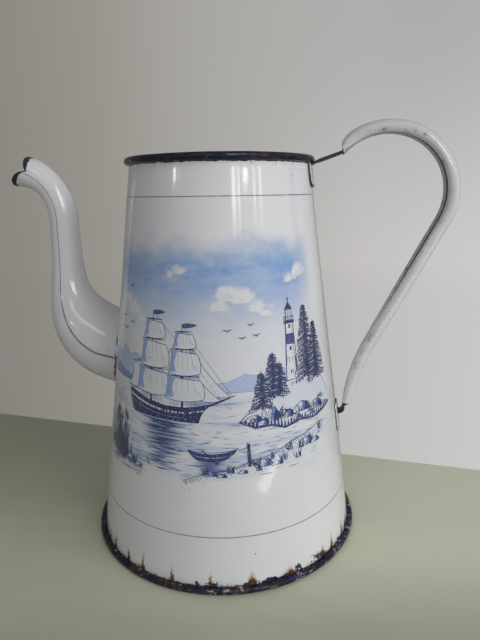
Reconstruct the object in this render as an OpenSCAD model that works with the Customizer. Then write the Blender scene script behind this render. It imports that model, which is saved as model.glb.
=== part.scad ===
// Enamelled steel coffee pot: a tapered sheet body with a wired rim and a clinched base,
// a swan-neck spout pressed in two halves, and a rolled strap handle on two small brackets.
// Millimetres, +Z up. The origin is on the body's axis, on the surface that the pot stands on.
// The handle points along +X and the spout along -X.

/* [Body] */
// Height from the table to the top of the rim
body_h = 240; // [200:1:290]
// Outer radius that the straight wall would have at the table
base_r = 85; // [75:0.5:95]
// Outer radius that the straight wall would have at the rim
top_r = 54.4; // [48:0.2:62]
// Thickness of the enamelled wall
wall_t = 1.2; // [1:0.1:2]
// Height of the straight collar inside the mouth, where a lid slips in
collar_h = 6; // [4:0.5:12]

/* [Rim] */
// Diameter of the wire inside the rolled rim
wire_d = 1.8; // [1.5:0.1:3]

/* [Base] */
// Height of the folded hem round the foot
hem_h = 3.6; // [3.4:0.1:5]
// How far the hem stands out from the wall
hem_out = 3.3; // [2.8:0.1:5]
// Height of the pressed bottom above the table
bottom_lift = 4; // [3:0.5:8]
// Thickness of the pressed bottom
pan_t = 1.2; // [1:0.1:1.5]

/* [Strainer] */
// Diameter of each hole punched in the wall behind the spout
hole_d = 4; // [3:0.5:5]
// Distance between neighbouring holes
hole_pitch = 8.5; // [7:0.5:9]
// Rings of holes round the middle one
hole_rings = 2; // [1:1:2]

/* [Spout] */
// Height of the middle of the spout's root
spout_root_z = 115; // [100:1:130]
// Outer diameter of the spout where it meets the wall
spout_root_d = 50; // [46:1:56]
// Outer diameter of the pipe where it rises
spout_pipe_d = 21.2; // [17:0.2:25]
// Outer diameter at the mouth
spout_mouth_d = 18; // [16:0.2:22]
// Thickness of the enamelled spout
spout_t = 1.1; // [0.9:0.1:1.6]
// Distance from the wall at the root's height to the middle of the rising pipe
spout_out = 39.5; // [35:0.5:48]
// Height gained in the lower bend
spout_bend_h = 48; // [42:1:56]
// How far the middle of the mouth is below the top of the rim
mouth_drop = 7.5; // [0:0.5:20]
// Radius of the upper bend
neck_r = 32; // [24:0.5:40]
// Angle that the upper bend turns through
neck_turn = 65; // [50:1:80]
// Length of the lower lip beyond the notches
lower_lip = 16.5; // [10:0.5:24]
// Length of the upper lip beyond the notches
upper_lip = 6; // [4:0.5:12]

/* [Handle] */
// Widest part of the strap
strap_w = 23; // [18:0.5:28]
// Depth of the strap from its edges to its crown
strap_d = 7.3; // [6:0.1:10]
// Thickness of the enamelled strap
strap_t = 1.4; // [1:0.1:1.8]
// Width of the strap at its upper end
tip_w = 13; // [12:0.5:16]
// Width of the strap at its lower end
tail_w = 10; // [9:0.5:14]
// Radius of the upper bow, measured to the strap's edges
bow_r = 33; // [28:0.5:38]
// Distance from the wall to the middle of the bow
bow_out = 42; // [38:0.5:50]
// How far the middle of the bow is below the rim
bow_drop = 22; // [18:0.5:26]
// Radius of the lower sweep
sweep_r = 115; // [90:1:140]
// Lean of the strap at its lower end
foot_lean = 5; // [0:0.5:8]
// Height of the strap's lower end
foot_z = 86; // [76:1:100]
// Distance from the wall to the strap's edges at the lower end
foot_out = 4.6; // [4:0.2:8]

/* [Brackets] */
// Thickness of the bracket strips
strip_t = 1.4; // [1.2:0.1:1.6]
// Width of the tab on the wall under the rim
tab_w = 16; // [12:0.5:20]
// Height of the tab on the wall under the rim
tab_h = 14; // [12:0.5:20]
// Width of the tongue that runs into the strap
tongue_w = 7; // [5:0.5:7.5]
// Width of the leg on the wall under the strap's lower end
leg_w = 12; // [9:0.5:15]
// Height of that leg below the peg's shelf
leg_h = 14; // [10:0.5:22]
// How far the peg's shelf lies below the strap's lower end
peg_drop = 3; // [1:0.5:5]
// Width of the peg that runs up into the strap
peg_w = 5; // [4:0.5:5.5]
// How far each strip reaches into the strap
grip_l = 8; // [6:0.5:10]

/* [Hidden] */

enamel = "whitesmoke";
edge_blue = "midnightblue";
bare_steel = "dimgray";

gap = 0.05;             // air left between pieces that are clinched
weld_gap = 0.12;        // air left where a curved edge of facets meets a curved wall
$fn = 96;

// Outer radius of the wall at height z
function wall_r(z) = base_r - (base_r - top_r) * z / body_h;
// A point at distance r and angle a from a centre [x, z], and an arc of n steps
function polar(c, r, a) = [c[0] + r * cos(a), c[1] + r * sin(a)];
function arc(c, r, a0, a1, n) = [for (i = [0:n]) polar(c, r, a0 + (a1 - a0) * i / n)];
// A smooth step, and the outline of a round end, as t goes from 0 to 1
function ease(t) = let (u = min(1, max(0, t))) u * u * (3 - 2 * u);
function round_up(t) = let (u = 1 - min(1, max(0, t))) sqrt(1 - u * u);

// ---------------------------------------------------------------- rim and base
// The wall's sheet is rolled outwards round the wire into a bead
bead_r = wire_d / 2 + gap + wall_t;
bead_z = body_h - bead_r;
collar_r = wall_r(bead_z) - wall_t;                 // inner radius of the mouth
bead_mid = collar_r + bead_r;                       // distance of the wire from the axis
bead_c = [bead_mid, bead_z];
curl_end = -104;                                    // where the rolled sheet's edge stops
curl_steps = 28;
wire_sides = 32;
collar_z = bead_z - collar_h;

// The wall's foot flange lies between the pan's foot ring and its folded hem
flange_z = pan_t + gap;
flange_t = hem_h - 2 * flange_z;
hem_r = base_r + hem_out;
hem_round = hem_h / 2;
hem_steps = 12;
flange_r = hem_r - flange_z;
hem_lip_r = wall_r(hem_h - pan_t) + 4 * gap;        // the hem's edge, pressed up to the wall
pan_r = wall_r(flange_z) - wall_t - gap;            // outside of the pan's upstand
foot_r = pan_r - pan_t;                             // inside of the ring that the pot stands on
pan_top = bottom_lift + pan_t;

// ---------------------------------------------------------------- sweeps
// Faces of a tube of n rings with m points each
function ring_faces(n, m) = [for (i = [0:n - 2]) for (j = [0:m - 1])
    let (k = (j + 1) % m, a = i * m, b = a + m) each [[a + j, b + k, a + k], [a + j, b + j, b + k]]];
// The two ends. Point j of a C-shaped ring faces point m - 1 - j across the sheet
function end_faces(n, m) = let (e = (n - 1) * m) [for (j = [0:m / 2 - 2]) let (k = m - 1 - j)
    each [[j, j + 1, k], [j + 1, k - 1, k], [e + j, e + k, e + j + 1], [e + j + 1, e + k, e + k - 1]]];
module sweep(rings) {
    n = len(rings);
    m = len(rings[0]);
    polyhedron(points = [for (ring = rings) each ring],
               faces = concat(ring_faces(n, m), end_faces(n, m)), convexity = 8);
}
// Outline of a strip of thickness t along a path of [x, z, heading]
function strip(path, t) = let (n = len(path) - 1) concat(
    [for (p = path) [p[0] + t / 2 * sin(p[2]), p[1] - t / 2 * cos(p[2])]],
    [for (i = [n:-1:0]) let (p = path[i]) [p[0] - t / 2 * sin(p[2]), p[1] + t / 2 * cos(p[2])]]);
// An arc as a path that turns left, or right where r is negative
function turn_path(p, r, to, n) = let (c = [p[0] - r * sin(p[2]), p[1] + r * cos(p[2])])
    [for (i = [1:n]) let (h = p[2] + (to - p[2]) * i / n) [c[0] + r * sin(h), c[1] - r * cos(h), h]];
function ahead(p, l) = [p[0] + l * cos(p[2]), p[1] + l * sin(p[2]), p[2]];
function last(list) = list[len(list) - 1];

// ---------------------------------------------------------------- spout
// The middle line is a quarter ellipse out of the wall, a straight rise and the neck's arc.
// A station holds x, z, the pipe's heading and the distance along the line
root_inset = 4.2;                                   // how far behind the wall the line starts
bend_steps = 14;
riser_steps = 4;
neck_steps = 9;
lip_steps = 5;
half_steps = 12;                                    // steps round each pressed half
root_skip = 3;                                      // steps of the bend that the root's flare spans
bend_rx = spout_out + root_inset;
riser_x = -wall_r(spout_root_z) - spout_out;
riser_z = spout_root_z + spout_bend_h;
neck_z = body_h - mouth_drop - neck_r * sin(neck_turn);
bend_l = PI / 4 * (bend_rx + spout_bend_h);
riser_l = neck_z - riser_z;
neck_l = neck_r * neck_turn * PI / 180;
pipe_l = bend_l + riser_l + neck_l;

function bend_station(t) = let (a = 90 * t)
    [riser_x + bend_rx * (1 - sin(a)), riser_z - spout_bend_h * cos(a),
     atan2(spout_bend_h * sin(a), -bend_rx * cos(a)), bend_l * t];
function riser_station(t) = [riser_x, riser_z + riser_l * t, 90, bend_l + riser_l * t];
function neck_station(t) = let (a = neck_turn * t, p = polar([riser_x - neck_r, neck_z], neck_r, a))
    [p[0], p[1], 90 + a, bend_l + riser_l + neck_l * t];
spout_line = concat([for (i = [root_skip:bend_steps]) bend_station(i / bend_steps)],
                    [for (i = [1:riser_steps]) riser_station(i / riser_steps)],
                    [for (i = [1:neck_steps]) neck_station(i / neck_steps)]);

// Outer radius at distance s along the line: a wide root that narrows through the bend
taper_at = 0.74 * bend_l;
taper_l = 0.137 * bend_l;
function pipe_r(s) = let (thin = spout_pipe_d + (spout_mouth_d - spout_pipe_d) * s / pipe_l)
    (thin + (spout_root_d - thin) / (1 + exp((s - taper_at) / taper_l))) / 2;

// A point at radius r and angle a round the pipe, 0 on the outside of the lower bend
function pipe_point(st, r, a) = let (h = st[2], u = r * cos(a))
    [st[0] - u * sin(h), -max(gap / 2, r * sin(a)), st[1] + u * cos(h)];
// The root's edge lies against the wall
function root_point(r, a) = let (y = r * sin(a), z = spout_root_z - r * cos(a), w = wall_r(z) + weld_gap)
    [-sqrt(w * w - y * y), -max(gap / 2, y), z];
// The two lips run on along the neck's arc beyond a notch at each side, and flare
lip_sweep = 0.6;                                    // how narrow the lips are
lip_flare = 0.02;                                   // how much wider they get at their ends
function lip_l(a) = (a < 90 ? lower_lip : upper_lip) * pow(abs(cos(a)), lip_sweep);
function lip_point(f, r, a) =
    pipe_point(neck_station(1 + f * lip_l(a) / neck_l), r * (1 + lip_flare * f * f), a);

// A ring runs round the outside of the half shell and back round its inside
half_angles = [for (j = [0:half_steps]) 180 * j / half_steps];
function shell_ring(st) = let (r = pipe_r(st[3])) concat([for (a = half_angles) pipe_point(st, r, a)],
    [for (a = half_angles) pipe_point(st, r - spout_t, 180 - a)]);
function root_ring() = let (r = spout_root_d / 2) concat([for (a = half_angles) root_point(r, a)],
    [for (a = half_angles) root_point(r - spout_t, 180 - a)]);
function lip_ring(f) = let (r = spout_mouth_d / 2) concat([for (a = half_angles) lip_point(f, r, a)],
    [for (a = half_angles) lip_point(f, r - spout_t, 180 - a)]);
module spout_half() {
    sweep(concat([root_ring()], [for (st = spout_line) shell_ring(st)],
                 [for (k = [1:lip_steps]) lip_ring(k / lip_steps)]));
}

// ---------------------------------------------------------------- handle
// The strap's edges follow the bow, a straight shank and a sweep that ends over the lower bracket.
// A station holds x, z, the angle that the crown faces and the distance along the strap
bow_start = 139;
bow_steps = 26;
shank_steps = 5;
sweep_steps = 9;
bow_c = [wall_r(body_h - bow_drop) + bow_out, body_h - bow_drop];
foot_p = [wall_r(foot_z) + foot_out, foot_z];
sweep_c = polar(foot_p, sweep_r, -foot_lean);
across = sweep_c - bow_c;
bow_end = atan2(across[1], across[0]) + acos((bow_r + sweep_r) / norm(across));
shank_a = polar(bow_c, bow_r, bow_end);
shank_b = polar(sweep_c, sweep_r, bow_end + 180);
bow_l = bow_r * (bow_start - bow_end) * PI / 180;
shank_l = norm(shank_b - shank_a);
sweep_l = sweep_r * (-foot_lean - bow_end) * PI / 180;
strap_l = bow_l + shank_l + sweep_l;

function bow_station(s) = let (a = bow_start - s / bow_r * 180 / PI, p = polar(bow_c, bow_r, a))
    [p[0], p[1], a, s];
function shank_station(t) = let (p = shank_a + (shank_b - shank_a) * t)
    [p[0], p[1], bow_end, bow_l + shank_l * t];
function sweep_station(t) =
    let (a = bow_end - (bow_end + foot_lean) * t, p = polar(sweep_c, sweep_r, a + 180))
    [p[0], p[1], a, bow_l + shank_l + sweep_l * t];
strap_line = concat([for (i = [0:bow_steps]) bow_station(bow_l * i / bow_steps)],
                    [for (i = [1:shank_steps]) shank_station(i / shank_steps)],
                    [for (i = [1:sweep_steps]) sweep_station(i / sweep_steps)]);

// The strap is pressed down to half its depth at both ends and is widest where the hand holds it
tip_l = 12;
tail_l = 38;
wide_from = 0.3;                                    // shares of the strap's length
wide_to = 0.45;
function strap_width(s) = let (f = s / strap_l) tip_w + (strap_w - tip_w) * ease(f / wide_from)
    - (strap_w - tail_w) * ease((f - wide_to) / (1 - wide_to));
function strap_depth(s) = strap_d * (1 + round_up(s / tip_l)) * (1 + round_up((strap_l - s) / tail_l)) / 4;

// The section: v across the strap, u towards its crown
crown_steps = 12;
crown_shape = 0.75;
function crown(w, d, a) =
    [-w / 2 * sign(cos(a)) * pow(abs(cos(a)), crown_shape), d * pow(sin(a), crown_shape)];
function section(w, d) = concat(
    [for (j = [0:crown_steps]) crown(w, d, 180 * j / crown_steps)],
    [[(w - strap_t) / 2, -strap_t / 2]],
    [for (j = [0:crown_steps]) crown(w - 2 * strap_t, d - strap_t, 180 - 180 * j / crown_steps)],
    [[(strap_t - w) / 2, -strap_t / 2]]);
function strap_ring(st) = [for (q = section(strap_width(st[3]), strap_depth(st[3])))
    [st[0] + q[1] * cos(st[2]), q[0], st[1] + q[1] * sin(st[2])]];
// Height of the room under the crown at distance v from the strap's middle
function under_crown(s, v) = let (c = pow(v / (strap_width(s) / 2 - strap_t), 1 / crown_shape))
    (strap_depth(s) - strap_t) * pow(1 - c * c, crown_shape / 2) - weld_gap;

// ---------------------------------------------------------------- sub-parts
punch_l = 14;                                       // length of each punch through the wall
hole_sides = 24;
row_pitch = hole_pitch * sqrt(3) / 2;
module strainer_holes() {
    for (q = [-hole_rings:hole_rings]) for (p = [-hole_rings:hole_rings]) if (abs(p + q) <= hole_rings)
        translate([-wall_r(spout_root_z), (p + q / 2) * hole_pitch, spout_root_z + q * row_pitch])
            rotate([0, 90, 0]) cylinder(d = hole_d, h = punch_l, center = true, $fn = hole_sides);
}

module body_wall() {
    color(enamel) difference() {
        rotate_extrude() polygon(concat(
            [[wall_r(flange_z) - wall_t, flange_z], [flange_r, flange_z],
             [flange_r, flange_z + flange_t], [wall_r(flange_z + flange_t), flange_z + flange_t]],
            arc(bead_c, bead_r - wall_t, 180, curl_end, curl_steps),
            arc(bead_c, bead_r, curl_end, 180, curl_steps),
            [[collar_r, collar_z], [wall_r(collar_z - collar_h / 2) - wall_t, collar_z - collar_h / 2]]));
        strainer_holes();
    }
}

module rim_wire() {
    color(bare_steel) rotate_extrude() translate(bead_c) circle(d = wire_d, $fn = wire_sides);
}

module base_pan() {
    color(edge_blue) rotate_extrude() polygon(concat(
        [[0, bottom_lift], [foot_r, bottom_lift], [foot_r, 0]],
        arc([hem_r - hem_round, hem_round], hem_round, -90, 90, hem_steps),
        [[hem_lip_r, hem_h], [hem_lip_r, hem_h - pan_t], [hem_r - pan_t, hem_h - pan_t],
         [hem_r - pan_t, pan_t], [pan_r, pan_t], [pan_r - wall_r(pan_t) + wall_r(pan_top), pan_top],
         [0, pan_top]]));
}

module spout_near_half() {
    color(enamel) spout_half();
}

module spout_far_half() {
    color(enamel) mirror([0, 1, 0]) spout_half();
}

module handle_strap() {
    color(enamel) sweep([for (st = strap_line) strap_ring(st)]);
}

// A plate w wide that follows the wall from z0 up to z1, with a round lower end
module wall_plate(z0, z1, w) {
    intersection() {
        rotate_extrude() polygon([[wall_r(z0) + gap, z0], [wall_r(z0) + strip_t, z0],
                                  [wall_r(z1) + strip_t, z1], [wall_r(z1) + gap, z1]]);
        translate([0, 0, z0 + w / 2]) rotate([90, 0, 90]) linear_extrude(2 * base_r) union() {
            circle(d = w);
            translate([-w / 2, 0]) square([w, z1 - z0]);
        }
    }
}

// A bent strip that stands on edge in the pot's middle plane, w wide
module bent_strip(path, w) {
    rotate([90, 0, 0]) linear_extrude(w, center = true) polygon(strip(path, strip_t));
}

// A strip runs along the strap's edges, this far above them, and then turns up to the crown
strip_u = strip_t / 2 + gap;
strip_turn = 0.8 * strip_t;
grip_steps = 4;
turn_steps = 5;
function along(stations, turn) = [for (st = stations) let (p = polar([st[0], st[1]], strip_u, st[2]))
    [p[0], p[1], st[2] - turn]];
function up_to_crown(path, side, st, w) = let (
    bend = turn_path(last(path), side * strip_turn, last(path)[2] + side * 90, turn_steps),
    rise = under_crown(st[3], w / 2) - strip_u - strip_turn) concat(path, bend, [ahead(last(bend), rise)]);

// The tongue leaves the wall under the bead, rounds it, and runs into the strap's upper end
tongue_rise = 16.5;
bead_hug = 37;
module handle_upper_bracket() {
    tab_z = bead_z - bead_r - gap;
    under = [bead_mid, tab_z - strip_t / 2, 0];
    rounded = turn_path(under, bead_r + gap + strip_t / 2, bead_hug, turn_steps);
    eased = turn_path(last(rounded), -2 * strip_t, tongue_rise, turn_steps);
    held = [for (i = [1:grip_steps]) bow_station(grip_l * i / grip_steps)];
    start = [wall_r(tab_z) + strip_t / 2, under[1], 0];
    path = concat([start, under], rounded, eased, along(held, 90));
    color(edge_blue) union() {
        wall_plate(tab_z - tab_h, tab_z, tab_w);
        bent_strip(up_to_crown(path, 1, last(held), tongue_w), tongue_w);
    }
}

// The peg leaves the leg's top and runs up into the strap's lower end
module handle_lower_bracket() {
    foot = polar(foot_p, strip_u, -foot_lean);
    bend_r = 2 * strip_t;
    shelf = foot[1] - bend_r - peg_drop;
    corner = [foot[0] - bend_r, shelf, 0];
    held = [for (i = [1:grip_steps]) sweep_station(1 - grip_l * i / grip_steps / sweep_l)];
    start = [wall_r(shelf) + strip_t / 2, shelf, 0];
    path = concat([start, corner], turn_path(corner, bend_r, 90 - foot_lean, turn_steps), along(held, -90));
    color(edge_blue) union() {
        wall_plate(shelf - leg_h, foot[1], leg_w);
        bent_strip(up_to_crown(path, -1, last(held), peg_w), peg_w);
    }
}

body_wall();
rim_wire();
base_pan();
spout_near_half();
spout_far_half();
handle_strap();
handle_upper_bracket();
handle_lower_bracket();
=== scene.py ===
import math
import random

import bmesh
import bpy
from mathutils import Matrix, Vector, noise
from mathutils.geometry import tessellate_polygon


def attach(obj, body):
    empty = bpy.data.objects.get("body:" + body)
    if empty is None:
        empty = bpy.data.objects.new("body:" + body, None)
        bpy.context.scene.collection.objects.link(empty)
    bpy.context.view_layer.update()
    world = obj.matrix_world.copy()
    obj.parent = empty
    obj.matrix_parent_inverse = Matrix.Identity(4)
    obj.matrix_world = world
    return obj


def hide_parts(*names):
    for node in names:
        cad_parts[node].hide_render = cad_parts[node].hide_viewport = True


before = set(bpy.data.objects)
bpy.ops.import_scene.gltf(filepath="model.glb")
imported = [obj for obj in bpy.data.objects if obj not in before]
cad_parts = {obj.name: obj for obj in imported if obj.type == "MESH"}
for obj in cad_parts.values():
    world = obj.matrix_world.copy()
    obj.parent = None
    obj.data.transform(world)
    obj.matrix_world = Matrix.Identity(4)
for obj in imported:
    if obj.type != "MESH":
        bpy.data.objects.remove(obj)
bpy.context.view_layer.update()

# Sizes are in millimetres and the pieces are made in metres, +Z up, handle along +X.
MM = 0.001
BODY_H, BASE_R, TOP_R, WALL_T = 240.0, 85.0, 54.4, 1.2
BEAD_R, BEAD_MID, BEAD_Z, COLLAR_R, COLLAR_H = 2.15, 55.624, 237.85, 53.474, 6.0
HEM_R, HEM_H, PAN_T, PAN_TOP, GAP = 88.3, 3.6, 1.2, 5.2, 0.05
FOOT_R = 82.39
UPPER_LINE_Z, LOWER_LINE_Z, LINE_W, LINE_BLUR = 217.7, 32.1, 0.60, 0.24


def wall_r(z):
    """Outer radius of the body at height z."""
    return BASE_R - (BASE_R - TOP_R) * z / BODY_H


def smooth_step(low, high, x):
    t = min(1.0, max(0.0, (x - low) / (high - low)))
    return t * t * (3 - 2 * t)


def polar(centre, r, degrees):
    a = math.radians(degrees)
    return centre[0] + r * math.cos(a), centre[1] + r * math.sin(a)


def spread(low, high, steps):
    return [low + (high - low) * i / steps for i in range(steps + 1)]


def fine_path(path, step, whole=round):
    """The path with more points along its straight stretches."""
    out = [path[0]]
    for a, b in zip(path, path[1:]):
        steps = max(1, whole(math.dist(a[:2], b[:2]) / step))
        out += [tuple(p + (q - p) * k / steps for p, q in zip(a, b)) for k in range(1, steps + 1)]
    return out


def wobble(x, y, z, size):
    """Unevenness from -1 to 1 that changes over the given distance."""
    return noise.noise(Vector((x / size, y / size, z / size)))


# ---------------------------------------------------------------- finishes
class Sum:
    """An output of a node. Arithmetic on it adds Math nodes."""

    def __init__(self, nodes, socket):
        self.nodes, self.socket = nodes, socket

    def __add__(self, other): return self.nodes.maths("ADD", self, other)
    def __radd__(self, other): return self.nodes.maths("ADD", other, self)
    def __sub__(self, other): return self.nodes.maths("SUBTRACT", self, other)
    def __rsub__(self, other): return self.nodes.maths("SUBTRACT", other, self)
    def __mul__(self, other): return self.nodes.maths("MULTIPLY", self, other)
    def __rmul__(self, other): return self.nodes.maths("MULTIPLY", other, self)
    def __or__(self, other): return self.nodes.maths("MAXIMUM", self, other)
    def __abs__(self): return self.nodes.maths("ABSOLUTE", self)

    def root(self):
        return self.nodes.maths("SQRT", self)

    def rise(self, low, high):
        """0 below low, 1 above high and smooth between. With low above high it falls."""
        return self.nodes.add("MapRange", {"interpolation_type": "SMOOTHSTEP"},
                              {"Value": self, "From Min": low, "From Max": high})


class Nodes:
    """A node tree in the making, with distances in millimetres."""

    def __init__(self, tree):
        self.tree = tree
        tree.nodes.clear()

    def add(self, kind, settings, inputs, output=0):
        """Adds a node, with its settings first and then the values or links of its sockets."""
        node = self.tree.nodes.new("ShaderNode" + kind)
        for name, value in settings.items():
            if name == "stops":
                ramp = node.color_ramp
                while len(ramp.elements) < len(value):
                    ramp.elements.new(0.5)
                for element, (where, colour) in zip(ramp.elements, value):
                    element.position = where
                    element.color = (*colour, 1)
            else:
                setattr(node, name, value)
        for name, value in inputs.items():
            socket = node.inputs[name]
            if isinstance(value, Sum):
                self.tree.links.new(value.socket, socket)
            elif isinstance(value, tuple) and len(value) == 3 and len(socket.default_value) == 4:
                socket.default_value = (*value, 1)
            else:
                socket.default_value = value
        return Sum(self, node.outputs[output]) if node.outputs else None

    def maths(self, operation, *values):
        return self.add("Math", {"operation": operation}, dict(enumerate(values)))

    def split(self, vector):
        return [Sum(self, s) for s in self.add("SeparateXYZ", {}, {0: vector}).socket.node.outputs]

    def mix(self, first, second, amount, blend="MIX"):
        return self.add("Mix", {"data_type": "RGBA", "blend_type": blend}, {0: amount, 6: first, 7: second}, 2)

    def ramp(self, amount, *stops):
        return self.add("ValToRGB", {"stops": stops}, {0: amount})

    def shown(self, shader, kind="Material"):
        self.add("Output" + kind, {}, {"Surface": shader})


class Finish(Nodes):
    """A material in the making."""

    def __init__(self, name):
        self.material = bpy.data.materials.new(name)
        self.material.use_nodes = True
        super().__init__(self.material.node_tree)
        self.place = self.add("TexCoord", {}, {}, "Object")
        self.x, self.y, self.z = (axis * 1000.0 for axis in self.split(self.place))

    def cloud(self, size, detail=2.0, rough=0.5, where=None, bend=0.0):
        """Noise from 0 to 1 whose patches are about size millimetres wide."""
        return self.add("TexNoise", {}, {"Vector": where or self.place, "Scale": 1000.0 / size, "Detail": detail,
                                         "Roughness": rough, "Distortion": bend})

    def stretched(self, x, y, z):
        """The place with each of its axes multiplied."""
        return self.add("Mapping", {}, {"Vector": self.place, "Scale": (x, y, z)})

    def held(self, name):
        """A number that the mesh holds at each of its points."""
        return self.add("Attribute", {"attribute_name": name}, {}, "Fac")

    def relief(self, height, distance, before=None):
        inputs = {"Height": height, "Distance": distance * MM, "Strength": 1.0}
        if before:
            inputs["Normal"] = before
        return self.add("Bump", {}, inputs)

    def finish(self, **sockets):
        self.shown(self.add("BsdfPrincipled", {}, {k.replace("_", " "): v for k, v in sockets.items()}))
        return self.material


WHITE = (0.69, 0.70, 0.715)
LINE_BLUE = (0.13, 0.145, 0.19)
NAVY = (0.007, 0.009, 0.023)
COBALT = (0.016, 0.034, 0.150)
RUST_DARK, RUST, RUST_LIGHT = (0.020, 0.011, 0.008), (0.070, 0.030, 0.014), (0.26, 0.125, 0.050)
TAN = (0.52, 0.36, 0.20)
CHIP = (0.46, 0.45, 0.44)
NAVY_SHINE = 0.28       # the navy edges shine less than the white walls


def white_coat(f):
    """The white enamel's colour: faintly cloudy, with grey handling marks and a few pinholes."""
    colour = f.mix((0.668, 0.672, 0.702), (0.715, 0.712, 0.728), f.cloud(60, 3, 0.55).rise(0.3, 0.7))
    smudge = f.cloud(6, 5, 0.7, bend=0.6).rise(0.58, 0.85) * f.cloud(45, 1).rise(0.4, 0.65) * 0.22
    colour = f.mix(colour, (0.36, 0.37, 0.38), smudge)
    pinhole = f.cloud(1.7, 0).rise(0.835, 0.86) * f.cloud(38, 1).rise(0.5, 0.62)
    return f.mix(colour, (0.13, 0.12, 0.12), pinhole * 0.8)


def rusty(f, size=3):
    """Rust of light and dark patches."""
    return f.ramp(f.cloud(size, 6, 0.7), (0.34, RUST_DARK), (0.47, RUST), (0.60, RUST), (0.74, RUST_LIGHT))


def navy(f, size, low, high, share=1.0):
    """Navy of darker and bluer patches."""
    return f.mix(NAVY, COBALT, f.cloud(size, 3).rise(low, high) * share)


ORANGE_PEEL, RIPPLE, CHIP_DEPTH = 0.005, 0.16, 0.14     # relief of the enamel in millimetres
COAT, COAT_ROUGH = 0.5, 0.05


def glaze(f, colour, bare=None, whole=None, coat=COAT, mirror=0.5):
    """Glassy where the enamel is whole, dull and pitted where the steel is bare.

    coat is how strong the glassy coat is, and mirror how strong the shine below it."""
    bump = f.relief(f.cloud(2.4, 0), ORANGE_PEEL, f.relief(f.cloud(24, 1), RIPPLE))
    if whole:
        bump = f.relief(whole, CHIP_DEPTH, bump)
    if bare:
        rough = bare * 0.6 + 0.12
        coat = (1.0 - bare) * coat if coat else 0.0
    else:
        rough = f.cloud(14, 3, 0.7).rise(0.45, 0.8) * 0.12 + 0.10
    return f.finish(Base_Color=colour, Roughness=rough, Coat_Weight=coat, Coat_Roughness=COAT_ROUGH,
                    Specular_IOR_Level=mirror, Normal=bump)


def round_wall(f):
    """Degrees round the body, 0 at its front and 90 at the handle."""
    return f.maths("ARCTAN2", f.x, 0.0 - f.y) * (180 / math.pi)


def from_axis(f):
    """Distance from the body's axis."""
    return (f.x * f.x + f.y * f.y).root()


def outside_of_wall(f):
    """1 on the outside of the wall and 0 inside it."""
    return (from_axis(f) + f.z * ((BASE_R - TOP_R) / BODY_H)).rise(BASE_R - 0.9, BASE_R - 0.6)


def thin_line(f, offset):
    """A painted line, a little uneven in strength, where the offset is 0."""
    return abs(offset).rise((LINE_W + LINE_BLUR) / 2, (LINE_W - LINE_BLUR) / 2) * (
        f.cloud(6, 2).rise(0.1, 0.6) * 0.45 + 0.5)


def wall_finish():
    """The middle of the wall, with the picture's washes and the two lines."""
    f = Finish("white_wall_enamel")
    outside = outside_of_wall(f)
    across = round_wall(f) * (math.pi / 180 * PICTURE_R)
    colour = white_coat(f)
    for wash, strength in sky_and_water(f, across):
        colour = f.mix(colour, wash, strength * outside)
    lines = thin_line(f, f.z - UPPER_LINE_Z) | thin_line(f, f.z - LOWER_LINE_Z)
    colour = f.mix(colour, LINE_BLUE, lines * outside * 0.95)
    scuff = f.cloud(2.2, 3, 0.7).rise(0.60, 0.72) * f.cloud(22, 2).rise(0.45, 0.62) * f.z.rise(85, 30)
    return glaze(f, f.mix(colour, (0.34, 0.35, 0.37), scuff * 0.45))


def sky_and_water(f, across):
    """The washes behind the picture's drawing, as pairs of colour and strength."""
    ragged = (f.cloud(20, 4, 0.6) - 0.5) * 24.0
    sides = (abs(across - 4.0) + ragged * 0.5).rise(80, 60)
    top = (f.z + ragged).rise(200, 180)
    sky = ((f.z + ragged * 0.5).rise(138, 182) + 0.10) * (f.z.rise(115, 125)) * top * sides
    patches = f.cloud(16, 5, 0.7, f.stretched(1.0, 1.0, 2.6)) * 0.9 + 0.30
    heaps, shade = cloud_heaps(f, across)
    streaks = f.cloud(34, 3, 0.6, f.stretched(0.5, 0.5, 3.2))
    water = streaks.rise(0.42, 0.66) * (f.z + ragged * 0.3).rise(116, 112) * (f.z + ragged * 0.6).rise(62, 76) * sides
    deep = f.cloud(20, 3, 0.6, f.stretched(0.5, 0.5, 4.0)).rise(0.55, 0.70) * water
    return [((0.17, 0.32, 0.62), sky * (1.0 - heaps) * patches), ((0.30, 0.40, 0.60), shade * sky),
            ((0.26, 0.40, 0.66), water * 0.75), ((0.06, 0.13, 0.40), deep * 0.75)]


# Heaps of white cloud: across, up and radius
HEAPS = [(-60, 153, 7), (-52, 158, 9), (-43, 155, 7), (-35, 151, 5), (14, 160, 6), (21, 166, 8), (29, 164, 7),
         (37, 159, 6), (44, 156, 4), (60, 173, 5), (67, 176, 6), (-14, 176, 4), (-8, 179, 5)]


def cloud_heaps(f, across):
    """White heaps of cloud, and the shade low on them."""
    ragged = (f.cloud(11, 5, 0.75, bend=0.8) - 0.5) * 19.0
    white = shade = None
    for u, v, r in HEAPS:
        du, dv = across - u, f.z - v
        stand = dv + dv.rise(0.0, -2.0) * (dv * 1.3)
        off = (du * du + stand * stand * 1.5).root() + ragged
        heap, low = off.rise(r + 1.5, r - 3.5), (off + dv * 0.7).rise(r - 4.0, r - 9.0)
        white, shade = (white | heap, shade | low) if white else (heap, low)
    return white, shade * 0.35


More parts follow.
